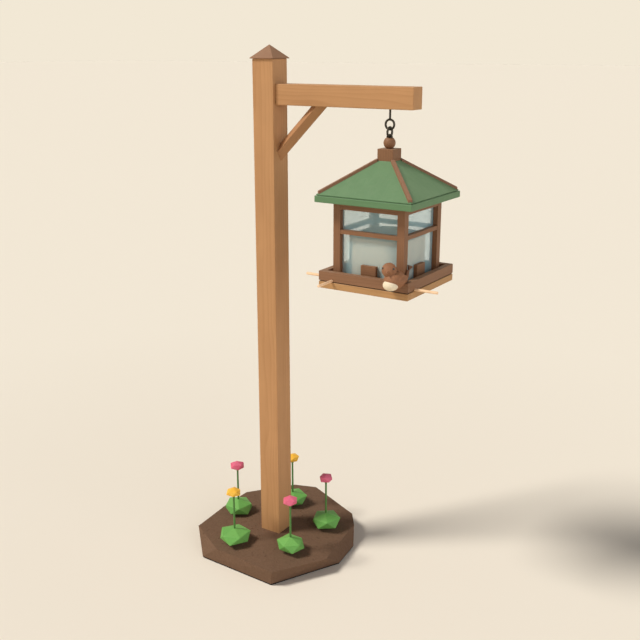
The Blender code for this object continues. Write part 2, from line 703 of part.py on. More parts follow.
def rounded_square(flat, corner, height, steps=12):
    """Outline of four round corners, whose centres lie a flat from the middle each way."""
    points = []
    for side_x, side_y, start in ((1, 1, 0), (-1, 1, 90), (-1, -1, 180), (1, -1, 270)):
        for step in range(steps + 1):
            angle = math.radians(start + 90 * step / steps)
            points.append((side_x * flat + corner * math.cos(angle),
                           side_y * flat + corner * math.sin(angle), height))
    return points


def seed_mesh():
    """Upright fill of seed that just clears the panes and is heaped on top."""
    flat = PANE_BACK - SEED_CLEARANCE - SEED_CORNER
    shoulder = FLOOR + SEED_HEIGHT - SEED_HEAP
    return bridge("seed", rounded_square(flat, SEED_CORNER, FLOOR + FIT),
                  rounded_square(flat, SEED_CORNER, shoulder),
                  rounded_square(SEED_TOP_FLAT, SEED_TOP_HALF - SEED_TOP_FLAT, FLOOR + SEED_HEIGHT))


def build_body(axis):
    """Corner posts, rails, panes, port blocks and the fill of seed."""
    centre = (HOOK_X, 0.0, 0.0)
    half = POST_INNER - FIT
    mid_low = FLOOR + MID_RAIL_ABOVE_FLOOR
    corner_post, top_rail = corner_post_mesh(), top_rail_mesh()
    mid_rail = box("mid_rail", (-half, -RAIL_FACE, mid_low),
                   (half, -RAIL_FACE + BAR_THICKNESS, mid_low + MID_RAIL_HEIGHT))
    pane = box("glass_pane", (-PANE_HALF_WIDTH, -PANE_FACE, FLOOR - PANE_GROOVE + FIT),
               (PANE_HALF_WIDTH, -PANE_BACK, TOP_RAIL_BOTTOM + PANE_GROOVE - FIT))
    block = box("port_block", (-PORT_BLOCK_WIDTH / 2, -RAIL_FACE + BAR_THICKNESS - PORT_BLOCK_THICKNESS,
                               FLOOR + FIT),
                (PORT_BLOCK_WIDTH / 2, -RAIL_FACE + BAR_THICKNESS, FLOOR + PORT_BLOCK_HEIGHT))
    for number in range(4):
        turn = number * math.pi / 2
        side = SIDES[number]
        put(f"corner_post_{CORNERS[number]}", corner_post, "stained_timber", centre, axis, turn)
        put(f"top_rail_{side}", top_rail, "stained_timber", centre, axis, turn)
        put(f"mid_rail_{side}", mid_rail, "stained_timber", centre, axis, turn)
        put(f"glass_pane_{side}", pane, "glass", centre, axis, turn)
        put(f"port_block_{side}", block, "stained_timber", centre, axis, turn)
    put("seed", seed_mesh(), "seed", centre, axis)


def perch_mesh(name, clearance):
    """Dowel on the front face, or with a clearance the hole it stands in."""
    return rod(name, (0.0, -TRAY_HALF + PERCH_IN + clearance, 0.0),
               (0.0, -TRAY_HALF - PERCH_OUT, 0.0), PERCH_RADIUS + clearance, segments=12)


def build_tray(axis):
    """Base board, four mitred rim boards and the perches."""
    centre = Vector((HOOK_X, 0.0, 0.0))
    base = put("base_board", box("base_board", (-TRAY_HALF, -TRAY_HALF, FLOOR - BASE_THICKNESS),
                                 (TRAY_HALF, TRAY_HALF, FLOOR - BASE_GAP)), "base_timber", centre, axis)
    soften(base, BASE_EDGE, 1)
    raised = TRAY_HALF - BASE_REBATE
    top = box("base_top", (-raised, -raised, FLOOR - BASE_THICKNESS / 2), (raised, raised, FLOOR))
    combine(base, guide("base_top", top, centre), "UNION")
    half = PANE_HALF_WIDTH + FIT
    slot = box("pane_slot", (-half, -PANE_FACE - FIT, FLOOR - PANE_GROOVE),
               (half, -PANE_BACK + FIT, FLOOR + PANE_GROOVE))
    outer, inner = TRAY_HALF, RIM_INNER
    foot = FLOOR + FIT
    section = ((inner, foot), (outer, foot), (outer, RIM_TOP), (inner, RIM_TOP))
    board = bridge("tray_rim", [(MITRE - out, -out, height) for out, height in section],
                   [(out - MITRE, -out, height) for out, height in section])
    dowel, hole = perch_mesh("perch", 0.0), perch_mesh("perch_hole", FIT)
    for number, sign in enumerate(PERCH_SIGNS):
        turn = number * math.pi / 2
        side = SIDES[number]
        across = Matrix.Rotation(turn, 3, "Z") @ Vector((sign * PERCH_OFFSET, 0.0, 0.0))
        place = centre + across + Vector((0.0, 0.0, FLOOR + PERCH_ABOVE_FLOOR))
        rim = put(f"tray_rim_{side}", board, "rim_timber", centre, axis, turn)
        soften(rim, RIM_EDGE, 1)
        socket = guide(f"perch_hole_{side}", hole, place, turn)
        combine(rim, socket)
        combine(base, socket)
        combine(base, guide(f"pane_slot_{side}", slot, centre, turn))
        put(f"perch_{side}", dowel, "dowel_timber", place, axis, turn)


def bird_point(offset):
    """World place of a bird offset: along the front rim, out from its face, up from its top."""
    along, out, up = offset
    return Vector((HOOK_X + BIRD_ALONG + along, -TRAY_HALF - out, RIM_TOP + up))


def head_direction(turn, rise):
    """Unit direction from the head's centre, in degrees to its left and up from where it looks."""
    around = math.radians(HEAD_TURN + turn)
    up = math.radians(rise)
    return Vector((math.sin(around) * math.cos(up), -math.cos(around) * math.cos(up), math.sin(up)))


def build_bird(axis):
    """Carved bird seated over the front rim, one piece with a cream belly, and two bead eyes."""
    body = put("bird", ball("bird", BODY_HALVES, 24, 14), "bird_brown", bird_point(BODY_CENTRE),
               axis)
    head_place = bird_point(HEAD_CENTRE)
    join(body, guide("bird_head_form", ball("bird_head_form", (HEAD_RADIUS,) * 3, 24, 14),
                     head_place))
    for side, sign in (("left", -1), ("right", 1)):
        wing = ball("bird_wing_form", WING_HALVES, 16, 10)
        place = bird_point(Vector(BODY_CENTRE) + Vector((sign * WING_OFFSET[0], *WING_OFFSET[1:])))
        join(body, guide(f"bird_wing_form_{side}", wing, place))
    tail = rod("bird_tail_form", bird_point(TAIL_ROOT), bird_point(TAIL_BEND), TAIL_ROOT_RADIUS,
               TAIL_BEND_RADIUS, 12)
    join(body, guide("bird_tail_form", tail))
    bend = ball("bird_tail_bend_form", (TAIL_BEND_RADIUS,) * 3, 12, 8)
    join(body, guide("bird_tail_bend_form", bend, bird_point(TAIL_BEND)))
    rise = rod("bird_tail_rise_form", bird_point(TAIL_BEND), bird_point(TAIL_RISE), TAIL_BEND_RADIUS * 0.98,
               TAIL_BEND_RADIUS, 12)
    join(body, guide("bird_tail_rise_form", rise))
    fan = rod("bird_tail_fan_form", bird_point(TAIL_FAN), bird_point(TAIL_TIP), TAIL_FAN_RADIUS,
              TAIL_TIP_RADIUS, 16)
    join(body, guide("bird_tail_fan_form", fan))
    beak_root = head_place + head_direction(0.0, 0.0) * 0.9 * HEAD_RADIUS
    beak_tip = head_place + head_direction(0.0, -BEAK_DIP) * (HEAD_RADIUS + BEAK_LENGTH)
    beak = rod("bird_beak_form", beak_root, beak_tip, BEAK_RADIUS, BEAK_RADIUS / 8, 10)
    join(body, guide("bird_beak_form", beak))
    belly = ball("bird_belly_form", BELLY_HALVES, 20, 12)
    belly.materials.append(paint("bird_cream"))
    join(body, guide("bird_belly_form", belly, bird_point(BELLY_CENTRE)))

    eye = ball("bird_eye", (EYE_RADIUS,) * 3, 16, 10)
    socket = ball("eye_socket", (EYE_RADIUS + FIT,) * 3, 16, 10)
    for side, sign in (("left", 1), ("right", -1)):
        place = head_place + head_direction(sign * EYE_TURN, EYE_RISE) * HEAD_RADIUS
        put(f"bird_eye_{side}", eye, "bird_black", place, axis)
        combine(body, guide(f"eye_socket_{side}", socket, place))

    reach = 2 * TRAY_HALF
    saddle = box("rim_saddle", (HOOK_X - reach, -TRAY_HALF - FIT, FLOOR - reach),
                 (HOOK_X + reach, reach, RIM_TOP + FIT))
    combine(body, guide("rim_saddle", saddle))
    notch = box("corner_notch", (HOOK_X - reach, -BODY_HALF - FIT, FLOOR),
                (HOOK_X + BODY_HALF + FIT, reach, EAVE_BOTTOM))
    combine(body, guide("corner_notch", notch))


def main():
    """Builds the feeder from the ground up."""
    for obj in list(bpy.data.objects):
        bpy.data.objects.remove(obj, do_unlink=True)
    build_mound()
    build_plants()
    build_post()
    build_arm()
    hanger_pivot, turn_axis = build_rings()
    build_hanger(hanger_pivot)
    build_roof(turn_axis)
    build_body(turn_axis)
    build_tray(turn_axis)
    build_bird(turn_axis)


main()
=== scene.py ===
"""Lantern bird feeder, hung by a link from the braced arm of a square post in a planted mound."""

import logging
import math
import random
from dataclasses import dataclass, replace
from enum import Enum

import bmesh
import bpy
from mathutils import Euler, Matrix, Vector


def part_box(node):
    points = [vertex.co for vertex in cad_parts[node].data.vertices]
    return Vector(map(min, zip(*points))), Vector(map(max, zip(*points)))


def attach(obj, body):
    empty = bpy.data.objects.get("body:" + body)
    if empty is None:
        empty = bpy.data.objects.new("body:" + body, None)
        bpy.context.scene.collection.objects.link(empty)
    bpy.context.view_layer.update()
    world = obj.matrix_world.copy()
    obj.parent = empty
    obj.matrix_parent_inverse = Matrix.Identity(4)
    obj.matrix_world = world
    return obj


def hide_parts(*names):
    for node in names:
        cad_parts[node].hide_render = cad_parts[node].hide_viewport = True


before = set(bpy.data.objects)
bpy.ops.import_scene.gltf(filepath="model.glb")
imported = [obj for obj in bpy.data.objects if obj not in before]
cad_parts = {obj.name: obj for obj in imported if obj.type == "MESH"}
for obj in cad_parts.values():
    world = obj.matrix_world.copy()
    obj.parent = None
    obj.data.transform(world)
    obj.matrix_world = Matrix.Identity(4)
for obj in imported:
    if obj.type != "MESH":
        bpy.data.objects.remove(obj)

log = logging.getLogger("feeder")

Pair = tuple[float, float]
Triple = tuple[float, float, float]
SocketRows = tuple[tuple[object, ...], ...]
Form = bmesh.types.BMesh
Mesh = bpy.types.Mesh
Piece = bpy.types.Object
Material = bpy.types.Material
Tree = bpy.types.NodeTree
Node = bpy.types.Node
Socket = bpy.types.NodeSocket
Outputs = bpy.types.NodeOutputs

SIDES = ("front", "right", "back", "left")
CORNERS = ("front_left", "front_right", "back_right", "back_left")
UP = Vector((0.0, 0.0, 1.0))

# Sizes are in metres, here and in every class
MERGE_DISTANCE = 1e-5
POLE_RADIUS = 1e-6
NOISE_SPAN = (0.3, 0.7)

COLOUR = "NodeSocketColor"
VALUE = "NodeSocketFloat"
VECTOR = "NodeSocketVector"
WHOLE = "NodeSocketInt"
SHAPE = "NodeSocketGeometry"
MATERIAL = "NodeSocketMaterial"


# Colour, and the small helpers that every maker uses


def linear(code: str) -> tuple[float, float, float, float]:
    """Turns a picked colour into scene-linear values, by the curve of sRGB.

    Args:
        code: six hexadecimal digits, red, green and blue.

    Returns:
        Red, green, blue and an opaque alpha.
    """
    picked = [int(code[at:at + 2], 16) / 255 for at in (0, 2, 4)]
    values = [v / 12.92 if v <= 0.04045 else ((v + 0.055) / 1.055) ** 2.4 for v in picked]
    return (values[0], values[1], values[2], 1.0)


def centre_of(node: str) -> Vector:
    """Middle of a CAD node's box."""
    low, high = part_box(node)
    return (Vector(low) + Vector(high)) / 2


def add_object(name: str, mesh: Mesh) -> Piece:
    """Puts a mesh in the scene, with its place in the mesh.

    Args:
        name: name of the piece.
        mesh: the finished mesh, in metres in the feeder's frame.

    Returns:
        The new object, at the origin.
    """
    obj = bpy.data.objects.new(name, mesh)
    mesh.name = name
    bpy.context.scene.collection.objects.link(obj)
    return obj


def plain_mesh(obj: Piece) -> Piece:
    """Turns what an object's modifiers make into its own plain mesh.

    Args:
        obj: object whose modifiers are to be made real.

    Returns:
        A new object of the same name with the finished mesh and no modifier.
    """
    bpy.context.view_layer.update()
    evaluated = obj.evaluated_get(bpy.context.evaluated_depsgraph_get())
    mesh = bpy.data.meshes.new_from_object(evaluated)
    name = obj.name
    bpy.data.objects.remove(obj, do_unlink=True)
    return add_object(name, mesh)


def mesh_of(name: str, bm: Form, smooth: bool = False) -> Mesh:
    """Ends a bmesh as a mesh with its faces pointing outwards.

    Args:
        name: name of the mesh.
        bm: the shape, which is freed.
        smooth: whether its faces are shaded round.

    Returns:
        The mesh.
    """
    bmesh.ops.recalc_face_normals(bm, faces=bm.faces)
    mesh = bpy.data.meshes.new(name)
    bm.to_mesh(mesh)
    bm.free()
    for polygon in mesh.polygons:
        polygon.use_smooth = smooth
    return mesh


def merged(node: str) -> Form:
    """Copies a CAD node's shape and merges its loose triangles.

    Args:
        node: name of the node, which stays as it is.

    Returns:
        The joined shape.
    """
    bm = bmesh.new()
    bm.from_mesh(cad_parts[node].data)
    bmesh.ops.remove_doubles(bm, verts=bm.verts, dist=MERGE_DISTANCE)
    return bm


def bed(name: str, bm: Form) -> Piece:
    """Ends an open shape as the surface that grains are scattered on.

    Args:
        name: name of the grains.
        bm: the shape, which is freed.

    Returns:
        The surface.
    """
    surface = bpy.data.meshes.new(name)
    bm.to_mesh(surface)
    bm.free()
    return add_object(name, surface)


def turned(profile: list[Pair], segments: int, place: Matrix) -> Form:
    """Turns a profile round its own Z axis, as on a lathe.

    Args:
        profile: radius and height of each point, from one pole to the other.
        segments: steps round the axis.
        place: matrix that puts the turned form in its place.

    Returns:
        A closed form.
    """
    bm = bmesh.new()
    rings = []
    for radius, height in profile:
        if radius < POLE_RADIUS:
            rings.append([bm.verts.new((0.0, 0.0, height))])
            continue
        step = math.tau / segments
        rings.append([bm.verts.new((radius * math.cos(step * i), radius * math.sin(step * i), height))
                      for i in range(segments)])
    for low, high in zip(rings, rings[1:]):
        for i in range(segments):
            j = (i + 1) % segments
            face = [low[i % len(low)], low[j % len(low)], high[j % len(high)], high[i % len(high)]]
            bm.faces.new(list(dict.fromkeys(face)))
    bmesh.ops.transform(bm, matrix=place, verts=bm.verts)
    return bm


def cut_away(obj: Piece, boxes: list[Matrix]) -> Piece:
    """Cuts boxes out of a piece.

    Args:
        obj: the piece, which is used up.
        boxes: for each box, the matrix that makes it of a cube with sides of 1.

    Returns:
        The cut piece, plain and under the same name.
    """
    cutters = []
    for box in boxes:
        bm = bmesh.new()
        bmesh.ops.create_cube(bm, size=1.0)
        bmesh.ops.transform(bm, matrix=box, verts=bm.verts)
        cutter = add_object("cutter", mesh_of("cutter", bm))
        cut = obj.modifiers.new("cut", "BOOLEAN")
        cut.object = cutter
        cut.operation = "DIFFERENCE"
        cut.solver = "EXACT"
        cutters.append(cutter)
    obj = plain_mesh(obj)
    for cutter in cutters:
        bpy.data.objects.remove(cutter, do_unlink=True)
    return obj


def ride(obj: Piece, body: str, slot: str, *nodes: str) -> Piece:
    """Hangs a finished piece on its body, in place of the CAD nodes that it stands for.

    Args:
        obj: the finished piece.
        body: name of the body that it moves with.
        slot: name of a material slot; not used.
        nodes: CAD nodes that it replaces.

    Returns:
        The same piece.
    """
    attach(obj, body)
    if nodes:
        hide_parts(*nodes)
    log.info("%s: %d faces on %s", obj.name, len(obj.data.polygons), body)
    return obj


def cover(obj: Piece, material: Material) -> None:
    """Gives a made piece its only material."""
    obj.data.materials.clear()
    obj.data.materials.append(material)


# Node groups: what more than one finish or piece uses


class Graph:
    """A node tree that is being laid, with short calls for its usual nodes."""

    def __init__(self, tree: Tree) -> None:
        """Keeps the tree that the calls add to."""
        self.tree = tree

    def add(self, kind: str, feeds: dict[str | int, object] | None = None, **settings: object) -> Node:
        """Adds a node and joins or sets its inputs.

        Args:
            kind: Blender's name for the type of node.
            feeds: outputs or plain values for its inputs.
            settings: properties to set on it.

        Returns:
            The node.
        """
        node = self.tree.nodes.new(kind)
        for key, value in settings.items():
            setattr(node, key, value)
        for key, value in (feeds or {}).items():
            self.put(node.inputs[key], value)
        return node

    def put(self, socket: Socket, value: object) -> None:
        """Joins an output to a socket, or sets the socket to a plain value.

        Args:
            socket: input of a node.
            value: output of another node, or a plain value.
        """
        if isinstance(value, Socket):
            self.tree.links.new(value, socket)
        else:
            socket.default_value = value

    def sum(self, operation: str, *values: object, clamp: bool = False) -> Socket:
        """One step of arithmetic.

        Args:
            operation: name of the operation of a Math node.
            values: outputs or numbers.
            clamp: whether the result stays from 0 to 1.

        Returns:
            The result.
        """
        feeds = dict(enumerate(values))
        return self.add("ShaderNodeMath", feeds, operation=operation, use_clamp=clamp).outputs[0]

    def plus(self, first: object, second: object, clamp: bool = False) -> Socket:
        """Adds two values."""
        return self.sum("ADD", first, second, clamp=clamp)

    def less(self, first: object, second: object, clamp: bool = False) -> Socket:
        """Takes the second value from the first."""
        return self.sum("SUBTRACT", first, second, clamp=clamp)

    def times(self, first: object, second: object, clamp: bool = False) -> Socket:
        """Multiplies two values."""
        return self.sum("MULTIPLY", first, second, clamp=clamp)

    def swing(self, value: object, middle: float, amount: object) -> Socket:
        """How far a value is from its middle, times an amount."""
        return self.times(self.less(value, middle), amount)

    def vector(self, operation: str, first: object, second: object) -> Socket:
        """One step of arithmetic on vectors."""
        return self.add("ShaderNodeVectorMath", {0: first, 1: second}, operation=operation).outputs[0]

    def scaled(self, where: object, factor: object) -> Socket:
        """Coordinates times one factor."""
        return self.add("ShaderNodeVectorMath", {0: where, "Scale": factor}, operation="SCALE").outputs[0]

    def split(self, vector: object) -> Outputs:
        """Parts of a vector along X, Y and Z."""
        return self.add("ShaderNodeSeparateXYZ", {0: vector}).outputs

    def noise(self, where: object, scale: float, detail: float, rough: float, colour: bool = False
              ) -> Socket:
        """Soft noise at a place.

        Args:
            where: the coordinates.
            scale: how fine it is.
            detail: how many finer layers it has.
            rough: share of the finer layers.
            colour: whether three values come out instead of one.

        Returns:
            The noise, about 0.5 on average.
        """
        node = self.add("ShaderNodeTexNoise",
                        {"Vector": where, "Scale": scale, "Detail": detail, "Roughness": rough})
        return node.outputs["Color" if colour else "Fac"]

    def stretched(self, where: object, scales: Triple, detail: float, rough: float) -> Socket:
        """Noise with a scale of its own along each axis.

        Args:
            where: the coordinates.
            scales: how fine it is along X, Y and Z.
            detail: how many finer layers it has.
            rough: share of the finer layers.

        Returns:
            The noise, about 0.5 on average.
        """
        return self.noise(self.vector("MULTIPLY", where, scales), 1.0, detail, rough)

    def range(self, value: object, span: Pair, to_span: Pair) -> Socket:
        """Stretches a value from one span to another and keeps it inside.

        Args:
            value: the value.
            span: its lowest and highest.
            to_span: what these two become.

        Returns:
            The stretched value.
        """
        feeds = {"Value": value, "From Min": span[0], "From Max": span[1],
                 "To Min": to_span[0], "To Max": to_span[1]}
        return self.add("ShaderNodeMapRange", feeds).outputs["Result"]

    def spread(self, noise: object, to_span: Pair) -> Socket:
        """Stretches the usual span of a noise to another."""
        return self.range(noise, NOISE_SPAN, to_span)

    def mix(self, share: object, first: object, second: object, how: str = "MIX") -> Socket:
        """Mixes two colours.

        Args:
            share: how much of the second, from 0 to 1.
            first: output or colour.
            second: output or colour.
            how: blend type of the Mix node.

        Returns:
            The mixed colour.
        """
        node = self.add("ShaderNodeMix", data_type="RGBA", blend_type=how)
        for place, value in ((0, share), (6, first), (7, second)):
            self.put(node.inputs[place], value)
        return node.outputs[2]


class NodeGroup:
    """A node group, built once. A row of its sockets is a name, a kind and, for some, a usual value."""

    name = "group"
    kind = "ShaderNodeTree"
    inputs: SocketRows = ()
    outputs: SocketRows = ()

    def tree(self) -> Tree:
        """Gives the group's tree, and builds it the first time.

        Returns:
            The tree.
        """
        made = bpy.data.node_groups.get(self.name)
        if made:
            return made
        made = bpy.data.node_groups.new(self.name, self.kind)
        for way, rows in (("INPUT", self.inputs), ("OUTPUT", self.outputs)):
            for label, kind, *usual in rows:
                socket = made.interface.new_socket(name=label, in_out=way, socket_type=kind)
                if usual:
                    socket.default_value = usual[0]
        graph = Graph(made)
        graph.add("NodeGroupOutput", self.lay(graph, graph.add("NodeGroupInput").outputs))
        return made

    def lay(self, graph: Graph, given: Outputs) -> dict[str, Socket]:
        """Lays the group's nodes.

        Args:
            graph: the tree.
            given: the group's inputs.

        Returns:
            What each named output gives.
        """
        raise NotImplementedError(self.name)


class ShaderGroup(NodeGroup):
    """A node group for materials."""

    def place(self, graph: Graph, **values: object) -> Outputs:
        """Puts the group in a material.

        Args:
            graph: the material's tree.
            values: its inputs, with underscores for spaces.

        Returns:
            The group's outputs.
        """
        feeds = {key.replace("_", " "): value for key, value in values.items()}
        return graph.add("ShaderNodeGroup", feeds, node_tree=self.tree()).outputs


class BoardGrain(ShaderGroup):
    """Growth rings round a pith that runs along Z, with fine fibres."""

    name = "board grain"
    inputs = (("Vector", VECTOR), ("Pale", COLOUR), ("Dark", COLOUR),
              ("Ring Gap", VALUE, 0.006), ("Figure", VALUE, 0.5), ("Fibre", VALUE, 0.4))
    outputs = (("Color", COLOUR), ("Height", VALUE), ("Fibre", VALUE))
    bend_scales: Triple = (9.0, 9.0, 1.6)
    bend_reach: Triple = (0.03, 0.03, 0.0)
    late_wood: float = 2.6
    ring_end: Pair = (0.90, 1.0)
    fibre_scales: Triple = (420.0, 420.0, 9.0)
    streak_scales: Triple = (26.0, 26.0, 2.2)
    streak_middle: float = 0.42
    streak_share: float = 0.9
    fibre_height: float = 0.7
    ring_height: float = 0.5

    def lay(self, graph: Graph, given: Outputs) -> dict[str, Socket]:
        """Rings from the distance to the pith, bent by slow noise, and fibres from stretched noise.

        Args:
            graph: the tree.
            given: the group's inputs.

        Returns:
            The colour, the height and the fibres alone.
        """
        where = given["Vector"]
        slow = graph.noise(graph.vector("MULTIPLY", where, self.bend_scales), 1.0, 2.0, 0.5, True)
        bend = graph.vector("SUBTRACT", slow, (0.5, 0.5, 0.5))
        bent = graph.split(graph.vector("ADD", where, graph.vector("MULTIPLY", bend, self.bend_reach)))
        square = graph.plus(graph.times(bent[0], bent[0]), graph.times(bent[1], bent[1]))
        turns = graph.sum("FRACT", graph.sum("DIVIDE", graph.sum("SQRT", square), given["Ring Gap"]))
        ring = graph.times(graph.sum("POWER", turns, self.late_wood),
                           graph.range(turns, self.ring_end, (1.0, 0.0)))
        fibre = graph.stretched(where, self.fibre_scales, 3.0, 0.6)
        streaks = graph.stretched(where, self.streak_scales, 3.0, 0.55)
        share = graph.plus(graph.times(ring, given["Figure"]), graph.swing(fibre, 0.5, given["Fibre"]))
        share = graph.plus(share, graph.swing(streaks, self.streak_middle, self.streak_share), clamp=True)
        height = graph.plus(graph.times(fibre, self.fibre_height), graph.times(ring, self.ring_height))
        return {"Color": graph.mix(share, given["Pale"], given["Dark"]), "Height": height, "Fibre": fibre}


class Weather(ShaderGroup):
    """Dust that settles on what faces up, and slow unevenness over the whole surface."""

    name = "weather"
    inputs = (("Vector", VECTOR), ("Color", COLOUR), ("Dust", COLOUR),
              ("Dust Amount", VALUE, 0.12), ("Unevenness", VALUE, 0.10), ("Patch Size", VALUE, 7.0))
    outputs = (("Color", COLOUR), ("Patches", VALUE))
    level_enough: Pair = (0.55, 1.0)
    speck_scale: float = 60.0
    speck_span: Pair = (0.35, 0.75)
    speck_share: Pair = (0.25, 1.0)

    def lay(self, graph: Graph, given: Outputs) -> dict[str, Socket]:
        """Patches darken and lighten the colour, and dust lies where the surface looks up.

        Args:
            graph: the tree.
            given: the group's inputs.

        Returns:
            The colour, and the patches alone.
        """
        patches = graph.noise(graph.scaled(given["Vector"], given["Patch Size"]), 1.0, 4.0, 0.55)
        level = graph.plus(1.0, graph.times(graph.swing(patches, 0.5, given["Unevenness"]), 2.0))
        tone = graph.add("ShaderNodeCombineColor", {0: level, 1: level, 2: level}).outputs[0]
        colour = graph.mix(1.0, given["Color"], tone, "MULTIPLY")
        normal = graph.add("ShaderNodeNewGeometry").outputs["Normal"]
        facing = graph.range(graph.split(normal)[2], self.level_enough, (0.0, 1.0))
        grit = graph.noise(given["Vector"], self.speck_scale, 4.0, 0.6)
        specks = graph.range(grit, self.speck_span, self.speck_share)
        settled = graph.times(graph.times(facing, specks), given["Dust Amount"], clamp=True)
        return {"Color": graph.mix(settled, colour, given["Dust"]), "Patches": patches}


class Crumbs(ShaderGroup):
    """Small lumps of two sizes, as in soil or seed, with painted shade in the hollows between them."""

    name = "crumbs"
    inputs = (("Vector", VECTOR), ("Color", COLOUR), ("Deep", COLOUR),
              ("Lump Scale", VALUE, 90.0), ("Contrast", VALUE, 0.4))
    outputs = (("Color", COLOUR), ("Height", VALUE))
    grit_scale: float = 2.3
    grit_height: float = 0.9
    height_span: Pair = (-0.6, 0.5)

    def lay(self, graph: Graph, given: Outputs) -> dict[str, Socket]:
        """Cells give the lumps, and noise breaks them up.

        Args:
            graph: the tree.
            given: the group's inputs.

        Returns:
            The colour and the height.
        """
        where = graph.scaled(given["Vector"], given["Lump Scale"])
        cells = graph.add("ShaderNodeTexVoronoi", {"Vector": where, "Scale": 1.0}).outputs["Distance"]
        grit = graph.noise(where, self.grit_scale, 4.0, 0.6)
        height = graph.less(graph.times(grit, self.grit_height), cells)
        # painted shade: the low parts between the lumps take the deep colour
        share = graph.times(graph.range(height, self.height_span, (1.0, 0.0)), given["Contrast"])
        return {"Color": graph.mix(share, given["Color"], given["Deep"]), "Height": height}


class Brushwork(ShaderGroup):
    """Marks of a brush drawn along Z through paint, with the timber's grain faint beneath."""

    name = "brushwork"
    inputs = (("Vector", VECTOR), ("Color", COLOUR), ("Thin", COLOUR),
              ("Streaks", VALUE, 0.3))
    outputs = (("Color", COLOUR), ("Height", VALUE))
    fine_scales: Triple = (330.0, 330.0, 8.0)
    wide_scales: Triple = (42.0, 42.0, 5.0)
    fine_share: float = 0.4
    fine_height: float = 0.6

    def lay(self, graph: Graph, given: Outputs) -> dict[str, Socket]:
        """Stretched noise in two widths.

        Args:
            graph: the tree.
            given: the group's inputs.

        Returns:
            The colour and the height.
        """
        fine = graph.stretched(given["Vector"], self.fine_scales, 3.0, 0.6)
        wide = graph.stretched(given["Vector"], self.wide_scales, 3.0, 0.5)
        share = graph.plus(graph.times(graph.spread(fine, (0.0, 1.0)), self.fine_share),
                           graph.times(graph.spread(wide, (0.0, 1.0)), 1.0 - self.fine_share))
        share = graph.times(share, given["Streaks"], clamp=True)
        height = graph.plus(graph.times(fine, self.fine_height), graph.times(wide, 1.0 - self.fine_height))
        return {"Color": graph.mix(share, given["Color"], given["Thin"]), "Height": height}


class ShadeBandGroup(ShaderGroup):
    """Painted shade in a gap or under a foot: a band between two heights, outside a square round an axis."""

    name = "painted_shade_band"
    inputs = (("Vector", VECTOR), ("Color", COLOUR), ("Dirt", COLOUR),
              ("Low", VALUE, 0.0), ("High", VALUE, 0.01), ("Clear Half", VALUE, 0.0), ("Axis X", VALUE, 0.0))
    outputs = (("Color", COLOUR), ("Share", VALUE))
    level_edge: Pair = (0.0, 0.0004)
    side_edge: Pair = (0.0, 0.001)

    def lay(self, graph: Graph, given: Outputs) -> dict[str, Socket]:
        """A mask from the place alone, with edges a fraction of a millimetre soft.

        Args:
            graph: the tree.
            given: the group's inputs.

        Returns:
            The colour, and the mask alone.
        """
        x, y, z = graph.split(given["Vector"])
        aside = graph.sum("ABSOLUTE", graph.less(x, given["Axis X"]))
        out = graph.sum("MAXIMUM", aside, graph.sum("ABSOLUTE", y))
        over = graph.range(graph.less(z, given["Low"]), self.level_edge, (0.0, 1.0))
        under = graph.range(graph.less(given["High"], z), self.level_edge, (0.0, 1.0))
        outside = graph.range(graph.less(out, given["Clear Half"]), self.side_edge, (0.0, 1.0))
        # painted shade: inside the band the colour turns to the shading colour, standing in for the shadow
        # in a gap or under a foot
        share = graph.times(graph.times(over, under), outside)
        return {"Color": graph.mix(share, given["Color"], given["Dirt"]), "Share": share}


# Finishes


@dataclass(frozen=True)
class PaintedShadeBand:
    """Where a piece is painted darker as shade: heights, and how far out from an axis the painted shade
    begins.
    """

    low: float
    high: float
    clear_half: float = 0.0
    axis_x: float = 0.0
    # colour of the painted shade
    shade_colour: str = "2A1C13"

    def over(self, stuff: "Stuff", colour: Socket) -> Socket:
        """Lays the painted shade over a colour.

        Args:
            stuff: the material that is being made.
            colour: the clean colour.

        Returns:
            The colour with the painted shade in its band.
        """
        shaded_colour = ShadeBandGroup().place(stuff.graph, Vector=stuff.where, Color=colour, Dirt=linear(self.shade_colour),
                              Low=self.low, High=self.high, Clear_Half=self.clear_half, Axis_X=self.axis_x)
        return shaded_colour["Color"]


class Run(Enum):
    """Which way the grain of a board runs."""

    ALONG_X = (1.0, 0.0, 0.0)
    ALONG_Y = (0.0, 1.0, 0.0)
    UPRIGHT = (0.0, 0.0, 1.0)
    BRACE = (1.0, 0.0, 1.0)

    def turn(self) -> Triple:
        """Angles that bring this direction onto Z."""
        return turn_to_z(Vector(self.value))

    @staticmethod
    def beside(side: str) -> "Run":
        """Way of a board that lies along one side of the lantern."""
        return Run.ALONG_X if side in ("front", "back") else Run.ALONG_Y


def turn_to_z(direction: Vector) -> Triple:
    """Angles of a Mapping node that bring a direction onto Z."""
    return tuple(direction.rotation_difference(UP).to_euler("XYZ"))


